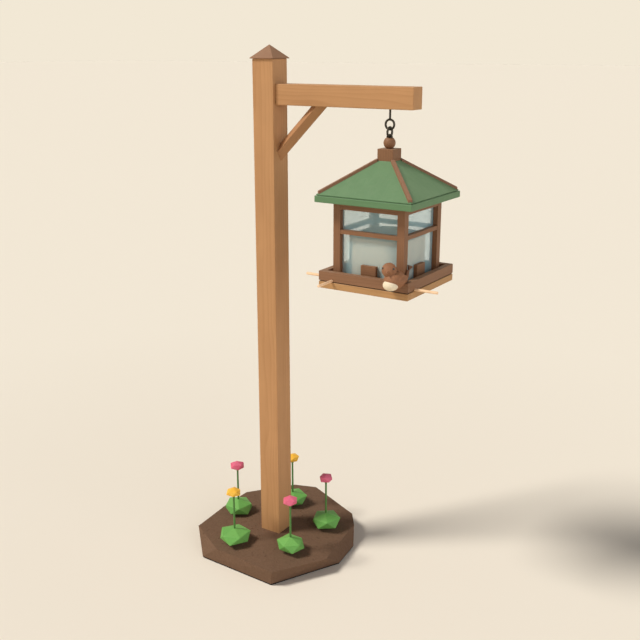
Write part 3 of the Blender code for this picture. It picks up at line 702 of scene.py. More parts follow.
class Stuff:
    """A material that is being made: its tree, its shader and its coordinates."""

    def __init__(self, name: str, gloss: float = 0.3) -> None:
        """Starts a material with a Principled shader.

        Args:
            name: name of the material.
            gloss: its plain level of gloss.
        """
        self.material = bpy.data.materials.new(name)
        self.material.use_nodes = True
        self.graph = Graph(self.material.node_tree)
        self.shader = next(n for n in self.material.node_tree.nodes if n.type == "BSDF_PRINCIPLED")
        self.shader.inputs["Specular IOR Level"].default_value = gloss
        self.where = self.graph.add("ShaderNodeTexCoord").outputs["Object"]

    def mapped(self, centre: Vector, turn: Triple) -> Socket:
        """Coordinates turned onto Z and measured from a point.

        Args:
            centre: point that becomes the pattern's middle.
            turn: angles that bring the grain onto Z.

        Returns:
            The coordinates.
        """
        feeds = {"Vector": self.where, "Rotation": turn,
                 "Location": -(Euler(turn, "XYZ").to_matrix() @ centre)}
        return self.graph.add("ShaderNodeMapping", feeds, vector_type="POINT").outputs["Vector"]

    def set(self, **values: object) -> None:
        """Sets or joins sockets of the shader, with underscores for spaces."""
        for key, value in values.items():
            self.graph.put(self.shader.inputs[key.replace("_", " ")], value)

    def relief(self, height: Socket, strength: float, depth: float) -> None:
        """Gives the surface a fine relief.

        Args:
            height: the relief's height from 0 to 1.
            strength: how strongly it shows.
            depth: its real depth in metres.
        """
        bump = self.graph.add("ShaderNodeBump", {"Strength": strength, "Distance": depth, "Height": height})
        self.set(Normal=bump.outputs["Normal"])


@dataclass(frozen=True)
class Timber:
    """Sawn and planed timber with an oil or a stain."""

    name: str
    pale: str
    dark: str
    ring_gap: float = 0.007
    figure: float = 0.45
    fibre: float = 0.35
    rough: Pair = (0.66, 0.55)
    dust: float = 0.10
    dust_colour: str = "CDBFA6"
    uneven: float = 0.08
    pith: Pair = (0.035, 0.060)
    aside: Pair = (0.8, 1.4)
    deep: Pair = (0.8, 1.3)
    log_half: float = 3.0
    gap_spread: Pair = (0.85, 1.2)
    relief: Pair = (0.35, 0.0007)
    painted_shade: PaintedShadeBand | None = None

    def on(self, board: str, centre: Vector, turn: Triple) -> Material:
        """Makes the finish for one board, cut from its own place in the log.

        Args:
            board: name of the board.
            centre: its middle.
            turn: angles that bring its grain onto Z.

        Returns:
            The material.
        """
        stuff = Stuff(f"{self.name} {board}")
        chance = random.Random(board)
        across = self.pith[0] * chance.choice((-1, 1)) * chance.uniform(*self.aside)
        down = self.pith[1] * chance.uniform(*self.deep)
        shift = Vector((across, down, chance.uniform(-self.log_half, self.log_half)))
        where = stuff.mapped(centre + Euler(turn, "XYZ").to_matrix().transposed() @ shift, turn)
        grain = BoardGrain().place(stuff.graph, Vector=where, Pale=linear(self.pale), Dark=linear(self.dark),
                                   Ring_Gap=self.ring_gap * chance.uniform(*self.gap_spread),
                                   Figure=self.figure, Fibre=self.fibre)
        worn = Weather().place(stuff.graph, Vector=where, Color=grain["Color"],
                               Dust=linear(self.dust_colour), Dust_Amount=self.dust, Unevenness=self.uneven)
        # painted shade in the board's band, where it has one
        colour = self.painted_shade.over(stuff, worn["Color"]) if self.painted_shade else worn["Color"]
        stuff.set(Base_Color=colour, Roughness=stuff.graph.spread(grain["Fibre"], self.rough))
        stuff.relief(grain["Height"], *self.relief)
        return stuff.material


@dataclass(frozen=True)
class Painted:
    """Satin paint brushed on timber."""

    name: str
    colour: str
    thin: str
    streaks: float = 0.55
    rough: Pair = (0.58, 0.46)
    dust: float = 0.10
    dust_colour: str = "AFB59A"
    uneven: float = 0.09
    patches: float = 9.0
    shift: float = 2.0
    relief: Pair = (0.30, 0.0005)

    def on(self, board: str, centre: Vector, turn: Triple) -> Material:
        """Makes the finish for one board, brushed along its grain.

        Args:
            board: name of the board.
            centre: its middle.
            turn: angles that bring the brush strokes onto Z.

        Returns:
            The material.
        """
        stuff = Stuff(f"{self.name} {board}")
        chance = random.Random(board)
        where = stuff.mapped(centre + UP * chance.uniform(-self.shift, self.shift), turn)
        brush = Brushwork().place(stuff.graph, Vector=where, Color=linear(self.colour),
                                  Thin=linear(self.thin), Streaks=self.streaks)
        worn = Weather().place(stuff.graph, Vector=where, Color=brush["Color"],
                               Dust=linear(self.dust_colour), Dust_Amount=self.dust,
                               Unevenness=self.uneven, Patch_Size=self.patches)
        stuff.set(Base_Color=worn["Color"], Roughness=stuff.graph.spread(worn["Patches"], self.rough))
        stuff.relief(brush["Height"], *self.relief)
        return stuff.material


@dataclass(frozen=True)
class Earth:
    """Damp garden soil, or anything else that is all small lumps."""

    name: str
    colour: str
    # deep: colour of the painted shade in the hollows between the lumps
    deep: str
    lumps: float = 90.0
    contrast: float = 0.45
    rough: Pair = (0.97, 0.84)
    uneven: float = 0.10
    patches: float = 14.0
    relief: Pair = (0.5, 0.0016)
    gloss: float = 0.15
    painted_shade: PaintedShadeBand | None = None

    def made(self) -> Material:
        """Makes the finish.

        Returns:
            The material.
        """
        stuff = Stuff(self.name, self.gloss)
        lumps = Crumbs().place(stuff.graph, Vector=stuff.where, Color=linear(self.colour),
                               Deep=linear(self.deep), Lump_Scale=self.lumps, Contrast=self.contrast)
        worn = Weather().place(stuff.graph, Vector=stuff.where, Color=lumps["Color"],
                               Dust=linear(self.colour), Dust_Amount=0.0, Unevenness=self.uneven,
                               Patch_Size=self.patches)
        # painted shade in the soil's band, where it has one
        colour = self.painted_shade.over(stuff, worn["Color"]) if self.painted_shade else worn["Color"]
        rough = stuff.graph.range(lumps["Height"], Crumbs.height_span, self.rough)
        stuff.set(Base_Color=colour, Roughness=rough)
        stuff.relief(lumps["Height"], *self.relief)
        return stuff.material


@dataclass(frozen=True)
class Foliage:
    """Leaf, stem or petal, with a slightly different tone on each facet."""

    name: str
    colour: str
    young: str
    facets: float = 0.5
    vein_scale: float = 130.0
    veins: float = 0.5
    rough: Pair = (0.70, 0.57)
    relief: Pair = (0.25, 0.0006)

    def made(self) -> Material:
        """Makes the finish.

        Returns:
            The material.
        """
        stuff = Stuff(self.name)
        graph = stuff.graph
        facet = graph.add("ShaderNodeAttribute", attribute_name="facet").outputs["Fac"]
        veins = graph.noise(stuff.where, self.vein_scale, 4.0, 0.6)
        share = graph.plus(graph.times(facet, self.facets), graph.swing(veins, 0.5, self.veins), clamp=True)
        stuff.set(Base_Color=graph.mix(share, linear(self.colour), linear(self.young)),
                  Roughness=graph.spread(veins, self.rough))
        stuff.relief(veins, *self.relief)
        return stuff.material


@dataclass(frozen=True)
class Metal:
    """Forged, cast or plated metal."""

    name: str
    colour: str
    worn: str
    metallic: float
    rough: Pair
    scale: float = 260.0
    worn_span: Pair = (0.42, 0.72)
    relief: Pair = (0.3, 0.0003)
    gloss: float = 0.5

    def made(self) -> Material:
        """Makes the finish.

        Returns:
            The material.
        """
        stuff = Stuff(self.name, self.gloss)
        graph = stuff.graph
        pits = graph.noise(stuff.where, self.scale, 4.0, 0.65)
        share = graph.range(pits, self.worn_span, (0.0, 1.0))
        stuff.set(Base_Color=graph.mix(share, linear(self.colour), linear(self.worn)),
                  Metallic=self.metallic, Roughness=graph.spread(pits, self.rough))
        stuff.relief(pits, *self.relief)
        return stuff.material


@dataclass(frozen=True)
class Glazing:
    """Old horticultural pane: a slightly milky, blue-green sheet with a clear gloss."""

    name: str
    tint: str
    cover: float
    light_through: float = 0.85
    film_scale: float = 11.0
    film_span: Pair = (0.2, 0.8)
    rough: Pair = (0.05, 0.11)
    wave_scales: Triple = (5.0, 5.0, 14.0)
    relief: Pair = (0.08, 0.0010)
    gloss: float = 0.5
    ior: float = 1.5

    def made(self) -> Material:
        """Makes the finish, clear from behind and nearly clear to the light.

        Returns:
            The material.
        """
        stuff = Stuff(self.name, self.gloss)
        graph = stuff.graph
        film = graph.noise(stuff.where, self.film_scale, 2.0, 0.5)
        waves = graph.stretched(stuff.where, self.wave_scales, 2.0, 0.5)
        path = graph.add("ShaderNodeLightPath").outputs
        lets_by = graph.sum("MAXIMUM", path["Is Shadow Ray"], path["Is Diffuse Ray"])
        back = graph.add("ShaderNodeNewGeometry").outputs["Backfacing"]
        shown = graph.times(graph.less(1.0, graph.times(lets_by, self.light_through)), graph.less(1.0, back))
        stuff.set(Base_Color=linear(self.tint), Roughness=graph.range(film, self.film_span, self.rough),
                  Alpha=graph.times(shown, self.cover), IOR=self.ior)
        stuff.relief(waves, *self.relief)
        stuff.material.surface_render_method = "BLENDED"
        return stuff.material


@dataclass(frozen=True)
class Feathers:
    """Paint on the carved bird, with short strokes of a fine brush, and the raised tail painted darker as
    painted shade.
    """

    name: str
    colour: str
    shade: str
    # colour and span in Y of the painted shade on the raised tail
    tail: str
    tail_shade_span: Pair = (-0.146, -0.126)
    stroke_scales: Triple = (420.0, 160.0, 160.0)
    strokes: Pair = (0.0, 0.45)
    patch_scale: float = 45.0
    patches: Pair = (0.0, 0.35)
    rough: Pair = (0.62, 0.76)
    relief: Pair = (0.35, 0.0004)

    def made(self) -> Material:
        """Makes the finish.

        Returns:
            The material.
        """
        stuff = Stuff(self.name)
        graph = stuff.graph
        strokes = graph.stretched(stuff.where, self.stroke_scales, 3.0, 0.6)
        patches = graph.noise(stuff.where, self.patch_scale, 3.0, 0.5)
        share = graph.plus(graph.spread(strokes, self.strokes), graph.spread(patches, self.patches),
                           clamp=True)
        # painted shade: the raised tail takes the darker tail colour
        raised = graph.range(graph.split(stuff.where)["Y"], self.tail_shade_span, (0.0, 1.0))
        paint = graph.mix(share, linear(self.colour), linear(self.shade))
        stuff.set(Base_Color=graph.mix(raised, paint, linear(self.tail)),
                  Roughness=graph.spread(strokes, self.rough))
        stuff.relief(strokes, *self.relief)
        return stuff.material


@dataclass(frozen=True)
class Bead:
    """Polished glass bead, nearly black, with a faint brown depth."""

    name: str
    dark: str
    brown: str
    scale: float = 500.0
    rough: Pair = (0.10, 0.20)
    gloss: float = 0.5
    coat: float = 0.6

    def made(self) -> Material:
        """Makes the finish.

        Returns:
            The material.
        """
        stuff = Stuff(self.name, self.gloss)
        cloud = stuff.graph.noise(stuff.where, self.scale, 2.0, 0.5)
        stuff.set(Base_Color=stuff.graph.mix(cloud, linear(self.dark), linear(self.brown)),
                  Roughness=stuff.graph.spread(cloud, self.rough), Coat_Weight=self.coat)
        return stuff.material


SOIL = Earth("garden soil", "735844", "5C4533")
SEED = Earth("mixed seed", "BCA281", "A48964", lumps=160.0, contrast=0.35, rough=(0.85, 0.72),
             relief=(0.5, 0.0012))
LEAVES = Foliage("leaf green", "639E49", "7EB65E")
STEMS = Foliage("stem green", "537E3E", "68944C", facets=0.0)
PINK = Foliage("pink petals", "D75D78", "DF7B8F")
YELLOW = Foliage("yellow petals", "F0B236", "F5C453")
OILED = Timber("oiled larch", "B9895B", "A27246")
BRACE = Timber("oiled larch brace", "AE7E55", "94683D")
CAP = Timber("stained cap", "90684A", "785138")
STAINED = Timber("brown stain", "865E40", "704B32", ring_gap=0.005, rough=(0.62, 0.51))
RIM = Timber("rim stain", "886144", "734F35", ring_gap=0.005)
STRIP = Timber("hip strip stain", "8D654B", "79523A", ring_gap=0.004)
BASE = Timber("base board", "B28656", "9E7144")
DOWEL = Timber("bare beech dowel", "F7D0A7", "E9BA87", ring_gap=0.003, figure=0.3, dust=0.03)
GREEN = Painted("leaf green paint", "5A7C54", "67865E")
ZINC = Metal("zinc plate", "B4B5B0", "8D8F8C", 1.0, (0.32, 0.48))
NUT = Metal("zinc nut", "A8A9A6", "8A8B88", 1.0, (0.32, 0.48))
IRON = Metal("black iron", "3A352D", "4C463C", 0.75, (0.40, 0.56))
PANE = Glazing("old pane", "B0DBE0", 0.41)
# the last colour of the brown is painted shade on the raised tail
BROWN = Feathers("bird brown", "9A6A49", "84593C", "6A4A36")
CREAM = Feathers("belly cream", "EBDBBE", "DAC6A4", "DAC6A4")
EYE = Bead("eye bead", "1A1412", "33241C")


def dress(node: str, material: Material) -> None:
    """Gives a CAD node its finish and leaves its shape alone.

    Args:
        node: name of the node.
        material: its material.
    """
    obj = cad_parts[node]
    for slot in obj.material_slots:
        slot.material = material
    log.info("%s: CAD solid in %s", node, material.name)


def dress_board(node: str, finish: Timber | Painted, run: Run | Vector) -> None:
    """Dresses a CAD board with its grain along a direction.

    Args:
        node: name of the node.
        finish: the timber or paint.
        run: the way its grain runs, or the strokes of the brush.
    """
    turn = run.turn() if isinstance(run, Run) else turn_to_z(run)
    dress(node, finish.on(node, centre_of(node), turn))


# Geometry Nodes: what repeats or follows a path


class Growth(NodeGroup):
    """A Geometry Nodes tree with named inputs that ends in real, dressed faces."""

    kind = "GeometryNodeTree"
    outputs = (("Geometry", SHAPE),)

    def grown(self, graph: Graph, given: Outputs) -> Socket:
        """Lays the nodes that grow the shape.

        Args:
            graph: the tree.
            given: the tree's inputs.

        Returns:
            The grown geometry.
        """
        raise NotImplementedError(self.name)

    def lay(self, graph: Graph, given: Outputs) -> dict[str, Socket]:
        """Shades the grown shape round, makes it real and dresses it.

        Args:
            graph: the tree.
            given: the tree's inputs.

        Returns:
            The finished geometry.
        """
        smooth = graph.add("GeometryNodeSetShadeSmooth",
                           {"Geometry": self.grown(graph, given), "Shade Smooth": True})
        real = graph.add("GeometryNodeRealizeInstances", {"Geometry": smooth.outputs["Geometry"]})
        dressed = graph.add("GeometryNodeSetMaterial",
                            {"Geometry": real.outputs["Geometry"], "Material": given["Material"]})
        return {"Geometry": dressed.outputs["Geometry"]}

    def grow(self, obj: Piece, material: Material, **values: object) -> Piece:
        """Grows the tree on an object and makes the result a plain mesh.

        Args:
            obj: what it grows on, which is used up.
            material: finish of what grows.
            values: the tree's inputs, with underscores for spaces.

        Returns:
            The plain piece.
        """
        modifier = obj.modifiers.new(self.name, "NODES")
        modifier.node_group = self.tree()
        wanted = {key.replace("_", " "): value for key, value in values.items()}
        wanted["Material"] = material
        for item in self.tree().interface.items_tree:
            if item.item_type == "SOCKET" and item.in_out == "INPUT" and item.name in wanted:
                modifier[item.identifier] = wanted[item.name]
        return plain_mesh(obj)


class BentWire(Growth):
    """Round wire that follows a drawn path."""

    name = "bent wire"
    inputs = (("Geometry", SHAPE), ("Wire Radius", VALUE, 0.004), ("Facets", WHOLE, 20),
              ("Material", MATERIAL))

    def grown(self, graph: Graph, given: Outputs) -> Socket:
        """A circle carried along the path and closed at its ends.

        Args:
            graph: the tree.
            given: the tree's inputs.

        Returns:
            The wire.
        """
        path = graph.add("GeometryNodeMeshToCurve", {"Mesh": given["Geometry"]}).outputs["Curve"]
        section = graph.add("GeometryNodeCurvePrimitiveCircle",
                            {"Resolution": given["Facets"], "Radius": given["Wire Radius"]}, mode="RADIUS")
        wire = graph.add("GeometryNodeCurveToMesh",
                         {"Curve": path, "Profile Curve": section.outputs["Curve"], "Fill Caps": True})
        return wire.outputs["Mesh"]


class Grains(Growth):
    """Small rounded grains scattered over a surface and half sunk in it."""

    name = "scattered grains"
    inputs = (("Geometry", SHAPE), ("Density", VALUE, 4000.0), ("Length", VALUE, 0.006),
              ("Width", VALUE, 0.6), ("Smallest", VALUE, 0.6), ("Seed", WHOLE, 1),
              ("Material", MATERIAL))
    flatness: float = 0.8
    tilt: float = 0.5

    def grown(self, graph: Graph, given: Outputs) -> Socket:
        """Points on the faces, a grain on each, laid along the surface and turned at random.

        Args:
            graph: the tree.
            given: the tree's inputs.

        Returns:
            The grains.
        """
        points = graph.add("GeometryNodeDistributePointsOnFaces",
                           {"Mesh": given["Geometry"], "Density": given["Density"], "Seed": given["Seed"]},
                           distribute_method="RANDOM").outputs
        grain = graph.add("GeometryNodeMeshIcoSphere", {"Radius": 0.5, "Subdivisions": 2})
        thick = graph.times(given["Width"], self.flatness)
        shape = graph.add("ShaderNodeCombineXYZ",
                          {0: given["Length"], 1: graph.times(given["Length"], given["Width"]),
                           2: graph.times(given["Length"], thick)})
        sized = graph.add("GeometryNodeTransform",
                          {"Geometry": grain.outputs["Mesh"], "Scale": shape.outputs[0]})
        spin = graph.add("FunctionNodeRandomValue",
                         {0: (-self.tilt, -self.tilt, 0.0), 1: (self.tilt, self.tilt, math.tau),
                          "Seed": given["Seed"]}, data_type="FLOAT_VECTOR")
        laid = graph.add("FunctionNodeRotateRotation", {0: points["Rotation"], 1: spin.outputs[0]},
                         rotation_space="LOCAL")
        size = graph.add("FunctionNodeRandomValue", {"Seed": given["Seed"]}, data_type="FLOAT")
        ends = [socket for socket in size.inputs if socket.type == "VALUE" and socket.name in ("Min", "Max")]
        for end, value in zip(ends, (given["Smallest"], 1.0)):
            graph.put(end, value)
        scale = next(socket for socket in size.outputs if socket.type == "VALUE" and socket.enabled)
        spread = graph.add("GeometryNodeInstanceOnPoints",
                           {"Points": points["Points"], "Instance": sized.outputs["Geometry"],
                            "Rotation": laid.outputs[0], "Scale": scale})
        return spread.outputs["Instances"]


# The stand: mound, plants, post, arm and brace


@dataclass
class Mound:
    """Low many-sided mound of soil round the post."""

    crumb: float = 0.009
    crumb_width: float = 0.75
    smallest_crumb: float = 0.35
    crumbs_per_square_metre: float = 900.0
    draw: int = 4
    # heights and colour of the painted shade round the undercut foot of the mound
    foot: Pair = (-0.001, 0.0083)
    foot_shade: str = "1E1611"
    steepest: float = 0.5
    lowest: float = 0.03
    body: str = "stand"

    def build(self) -> None:
        """Dresses the soil, painted darker at its foot as shade, and scatters crumbs over its top."""
        low, high = self.foot
        # painted shade: the soil is darker round the undercut foot
        soil = replace(SOIL, painted_shade=PaintedShadeBand(low, high, shade_colour=self.foot_shade)).made()
        dress("soil_mound", soil)
        bm = merged("soil_mound")
        bare = [face for face in bm.faces
                if face.normal.z < self.steepest or face.calc_center_median().z < self.lowest]
        bmesh.ops.delete(bm, geom=bare, context="FACES")
        crumbs = Grains().grow(bed("soil_crumbs", bm), soil, Density=self.crumbs_per_square_metre,
                               Length=self.crumb, Width=self.crumb_width, Smallest=self.smallest_crumb,
                               Seed=self.draw)
        ride(crumbs, self.body, "soil")


@dataclass
class Plant:
    """One plant: a low clump of leaves, a straight stem and one bloom."""

    number: int
    degrees: float
    radius: float
    leaf_size: Pair
    petals: Material
    leaves: Material
    stalk: Material
    soil_height: float = 0.093
    leaf_centre: float = 0.027
    leaf_draw: int = 10
    bloom_size: Pair = (0.067, 0.042)
    bloom_centre: float = 0.238
    bloom_draw: int = 30
    ball_radius: float = 1.06
    unevenness: Pair = (0.90, 1.06)
    soft_edge: float = 0.0012
    soft_angle: float = 0.1
    stem_radius: float = 0.0046
    stem_thins: Pair = (0.96, 0.9)
    stem_facets: int = 12
    neck_flare: float = 1.6
    neck_drops: Triple = (0.030, 0.014, 0.006)
    foot_depth: float = 0.012
    body: str = "stand"

    @property
    def foot(self) -> Vector:
        """Point on the ground under the stem."""
        around = math.radians(self.degrees)
        return Vector((self.radius * math.cos(around), self.radius * math.sin(around), 0.0))

    def lump(self, name: str, size: Pair, draw: int, height: float) -> Piece:
        """Makes a faceted lump of leaves or petals.

        Args:
            name: name of the piece.
            size: width and height.
            draw: fixes its unevenness.
            height: of its middle above the ground.

        Returns:
            The lump, with a tone for each facet.
        """
        chance = random.Random(draw)
        bm = bmesh.new()
        matrix = Matrix.Diagonal((size[0] / 2, size[0] / 2, size[1] / 2, 1.0))
        matrix = matrix @ Matrix.Rotation(chance.uniform(0.0, math.tau), 4, "Z")
        bmesh.ops.create_icosphere(bm, subdivisions=1, radius=self.ball_radius, matrix=matrix)
        for vert in bm.verts:
            vert.co *= chance.uniform(*self.unevenness)
        hull = bmesh.ops.convex_hull(bm, input=bm.verts)
        inner = [item for item in hull["geom_interior"] if isinstance(item, bmesh.types.BMVert)]
        bmesh.ops.delete(bm, geom=inner, context="VERTS")
        bmesh.ops.translate(bm, vec=self.foot + UP * height, verts=bm.verts)
        obj = add_object(name, mesh_of(name, bm))
        bevel = obj.modifiers.new("soft edge", "BEVEL")
        bevel.width = self.soft_edge
        bevel.segments = 1
        bevel.limit_method = "ANGLE"
        bevel.angle_limit = self.soft_angle
        obj = plain_mesh(obj)
        tone = obj.data.attributes.new("facet", "FLOAT", "FACE")
        for item in tone.data:
            item.value = chance.random()
        return obj

    def build(self) -> None:
        """Builds the clump, the stem and the bloom in place of the plant's solid."""
        top = self.soil_height + self.bloom_centre
        bottom = self.soil_height - self.foot_depth
        clump = self.lump(f"leaf_clump_{self.number}", self.leaf_size, self.leaf_draw + self.number,
                          self.soil_height + self.leaf_centre)
        bloom = self.lump(f"bloom_{self.number}", self.bloom_size, self.bloom_draw + self.number, top)
        thick = self.stem_radius
        halfway, upper = self.stem_thins
        neck, flare, end = (top - drop for drop in self.neck_drops)
        profile = [(0.0, bottom), (thick, bottom), (thick * halfway, (top + bottom) / 2),
                   (thick * upper, neck), (thick * self.neck_flare, flare), (0.0, end)]
        form = turned(profile, self.stem_facets, Matrix.Translation(self.foot))
        stem = add_object(f"stem_{self.number}", mesh_of("stem", form, True))
        for obj, material in ((clump, self.leaves), (stem, self.stalk), (bloom, self.petals)):
            cover(obj, material)
            ride(obj, self.body, "plant", f"flower_plant_{self.number}")


@dataclass
class Planting:
    """The five plants round the post: bearing and distance of each, and the size of its clump."""

    places: tuple[tuple[float, float, Pair], ...] = (
        (36, 0.229, (0.145, 0.074)), (106, 0.238, (0.148, 0.066)), (175, 0.238, (0.146, 0.074)),
        (247, 0.220, (0.147, 0.068)), (322, 0.217, (0.126, 0.066)))

    def build(self) -> None:
        """Sets the plants, with pink and yellow blooms by turns."""
        leaves, stalk, pink, yellow = (finish.made() for finish in (LEAVES, STEMS, PINK, YELLOW))
        for number, (degrees, radius, leaf_size) in enumerate(self.places, start=1):
            petals = pink if number % 2 else yellow
            Plant(number, degrees, radius, leaf_size, petals, leaves, stalk).build()


@dataclass
class Stand:
    """Post with its cap, the arm with its screws, and the brace."""

    screw_radius: float = 0.007
    screw_head: float = 0.0050
    screw_facets: int = 32
    dome: tuple[Pair, ...] = ((0.0, 0.0), (0.45, 0.0001), (0.8, 0.0006), (1.0, 0.0018))
    head_edge: float = 0.0004
    head_under: float = 0.9
    shank_radius: float = 0.0035
    point_length: float = 0.008
    point_end: float = 0.2
    slot_size: Triple = (0.0044, 0.0016, 0.0077)
    slot_turn: float = 0.4
    body: str = "stand"

    def build(self) -> None:
        """Dresses the timbers and makes the screws."""
        dress_board("post", OILED, Run.UPRIGHT)
        dress_board("arm", OILED, Run.ALONG_X)
        dress_board("arm_brace", BRACE, Run.BRACE)
        dress_board("post_cap", CAP, Run.ALONG_X)
        zinc = ZINC.made()
        for number in (1, 2):
            self.screw(number, zinc)

    def screw(self, number: int, zinc: Material) -> None:
        """Makes one screw with a cross recess in its domed head.

        Args:
            number: 1 or 2, which is also its node's number.
            zinc: its finish.
        """
        node = f"arm_screw_{number}"
        low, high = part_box(node)
        middle = centre_of(node)
        out, end, rim, shank = low[0], high[0], self.screw_radius, self.shank_radius
        deep = out + self.screw_head
        profile = [(rim * share, out + depth) for share, depth in self.dome]
        profile += [(rim, deep - self.head_edge), (rim * self.head_under, deep), (shank, deep),
                    (shank, end - self.point_length), (shank * self.point_end, end), (0.0, end)]
        place = Matrix.Translation((0.0, middle.y, middle.z)) @ Matrix.Rotation(math.pi / 2, 4, "Y")
        form = turned(profile, self.screw_facets, place)
        screw = add_object(f"screw_{number}", mesh_of("screw", form))
        face = Matrix.Translation((out, middle.y, middle.z))
        slot = Matrix.Diagonal((*self.slot_size, 1.0))
        slots = [face @ Matrix.Rotation(turn, 4, "X") @ slot
                 for turn in (self.slot_turn, self.slot_turn + math.pi / 2)]
        screw = cut_away(screw, slots)
        cover(screw, zinc)
        ride(screw, self.body, "zinc", node)


# The rings that carry the lantern


@dataclass
class Hanger:
    """Eye screw, link, finial eye, ball and nut."""

    ring_radius: float = 0.0183
    finial_radius: float = 0.0091
    wire_radius: float = 0.0041
    wire_facets: int = 24
    ring_steps: int = 72
    shank_radius: float = 0.0040
    shank_sunk: float = 0.4
    shank_flares: Pair = (1.1, 1.35)
    shank_neck: Pair = (0.0042, 0.0085)
    point_length: float = 0.004
    point_end: float = 0.5
    shank_short: float = 0.0005
    ball_radius: float = 0.0231
    ball_foot: float = 0.0205
    ball_steps: int = 30
    ball_facets: int = 48
    ball_inset: float = 0.0002
    groove_step: int = 9
    groove_depth: float = 0.0005

    def loop(self, name: str, middle: Vector, radius: float, across: Vector, way: float) -> Piece:
        """Draws the path of a ring.

        Args:
            name: name of the piece.
            middle: centre of the ring.
            radius: of the wire's middle line.
            across: level direction in the ring's plane.
            way: 1 where the path starts at the top, and -1 at the bottom.

        Returns:
            The path as a row of joined points.
        """
        points = []
        steps = self.ring_steps
        for step in range(steps):
            angle = math.tau * step / steps
            points.append(middle + across * radius * math.sin(angle) + UP * way * radius * math.cos(angle))
        mesh = bpy.data.meshes.new(name)
        edges = [(i, (i + 1) % steps) for i in range(steps)]
        mesh.from_pydata(points, edges, [])
        return add_object(name, mesh)

    def wire(self, name: str, body: str, node: str, middle: Vector, radius: float, across: Vector,
             iron: Material, shank: float = 0.0) -> None:
        """Bends one ring of round wire and joins its shank.

        Args:
            name: name of the piece.
            body: body that it rides on.
            node: CAD node that it stands for.
            middle: centre of the ring.
            radius: of the wire's middle line.
            across: level direction in the ring's plane.
            iron: its finish.
            shank: height that the shank ends at, or 0 for none.
        """
        way = 1.0 if shank > middle.z else -1.0
        ring = BentWire().grow(self.loop(name, middle, radius, across, way), iron,
                               Wire_Radius=self.wire_radius, Facets=self.wire_facets)
        if shank:
            start = middle.z + way * (radius - self.wire_radius * self.shank_sunk)
            lean = self.shank_radius
            root, collar = self.shank_flares
            widest, neck = self.shank_neck
            profile = [(0.0, start), (lean * root, start), (lean * collar, start + way * widest),
                       (lean, start + way * neck), (lean, shank - way * self.point_length),
                       (lean * self.point_end, shank), (0.0, shank)]
            bm = turned(profile, self.wire_facets, Matrix.Translation((middle.x, middle.y, 0.0)))
            bm.from_mesh(ring.data)
            mesh = mesh_of(name, bm, True)
            mesh.materials.append(iron)
            ring.data = mesh
            mesh.name = name
        ride(ring, body, "iron", node)

    def build(self) -> None:
        """Bends the three rings, turns the ball and dresses the nut."""
        iron = IRON.made()
        x_way, y_way = Vector((1.0, 0.0, 0.0)), Vector((0.0, 1.0, 0.0))
        low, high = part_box("eye_screw")
        out = centre_of("eye_screw").x
        outer = self.ring_radius + self.wire_radius
        self.wire("eye_screw_ring", "stand", "eye_screw", Vector((out, 0.0, low[2] + outer)),
                  self.ring_radius, x_way, iron, high[2] - self.shank_short)
        self.wire("link_ring", "link", "chain_link", centre_of("chain_link"), self.ring_radius, y_way, iron)
        low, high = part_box("finial_eye")
        outer = self.finial_radius + self.wire_radius
        self.wire("finial_ring", "hanger", "finial_eye", Vector((out, 0.0, high[2] - outer)),
                  self.finial_radius, x_way, iron, low[2] + self.shank_short)
        self.ball(out)
        dress("hanger_nut", NUT.made())

    def ball(self, out: float) -> None:
        """Turns the ball with a small foot and a shallow groove over it.

        Args:
            out: distance of its axis along the arm.
        """
        low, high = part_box("finial_ball")
        radius, steps, inset = self.ball_radius, self.ball_steps, self.ball_inset
        middle = low[2] + self.ball_foot
        foot = math.acos(self.ball_foot / radius)
        top = math.acos(min(1.0, (high[2] - middle) / radius))
        profile = [(0.0, low[2] + inset), (radius * math.sin(foot), low[2] + inset)]
        for step in range(1, steps):
            angle = math.pi - foot - (math.pi - foot - top) * step / steps
            reach = radius - (self.groove_depth if step == self.groove_step else 0.0)
            profile.append((reach * math.sin(angle), middle + reach * math.cos(angle)))
        profile += [(radius * math.sin(top), high[2] - inset), (0.0, high[2] - inset * 2)]
        form = turned(profile, self.ball_facets, Matrix.Translation((out, 0.0, 0.0)))
        ball = add_object("turned_ball", mesh_of("turned_ball", form, True))
        cover(ball, STAINED.on("ball", centre_of("finial_ball"), Run.UPRIGHT.turn()))
        ride(ball, "hanger", "stained_timber", "finial_ball")


# The lantern


@dataclass
class Roof:
    """Four painted slopes on an eave board, hip strips and the plinth."""

    slope: float = 0.718
    panel_ways: tuple[Pair, ...] = ((0.0, -1.0), (1.0, 0.0), (0.0, 1.0), (-1.0, 0.0))
    hip_ways: tuple[Pair, ...] = ((-1.0, -1.0), (1.0, -1.0), (1.0, 1.0), (-1.0, 1.0))

    def build(self) -> None:
        """Dresses the roof, with the strokes of the brush down each slope."""
        for side, (x, y) in zip(SIDES, self.panel_ways):
            dress_board(f"roof_panel_{side}", GREEN, Vector((x, y, -self.slope)))
        for corner, (x, y) in zip(CORNERS, self.hip_ways):
            dress_board(f"hip_strip_{corner}", STRIP, Vector((x, y, -self.slope)))
        dress_board("eave_board", GREEN, Run.ALONG_X)
        dress_board("plinth", STAINED, Run.UPRIGHT)


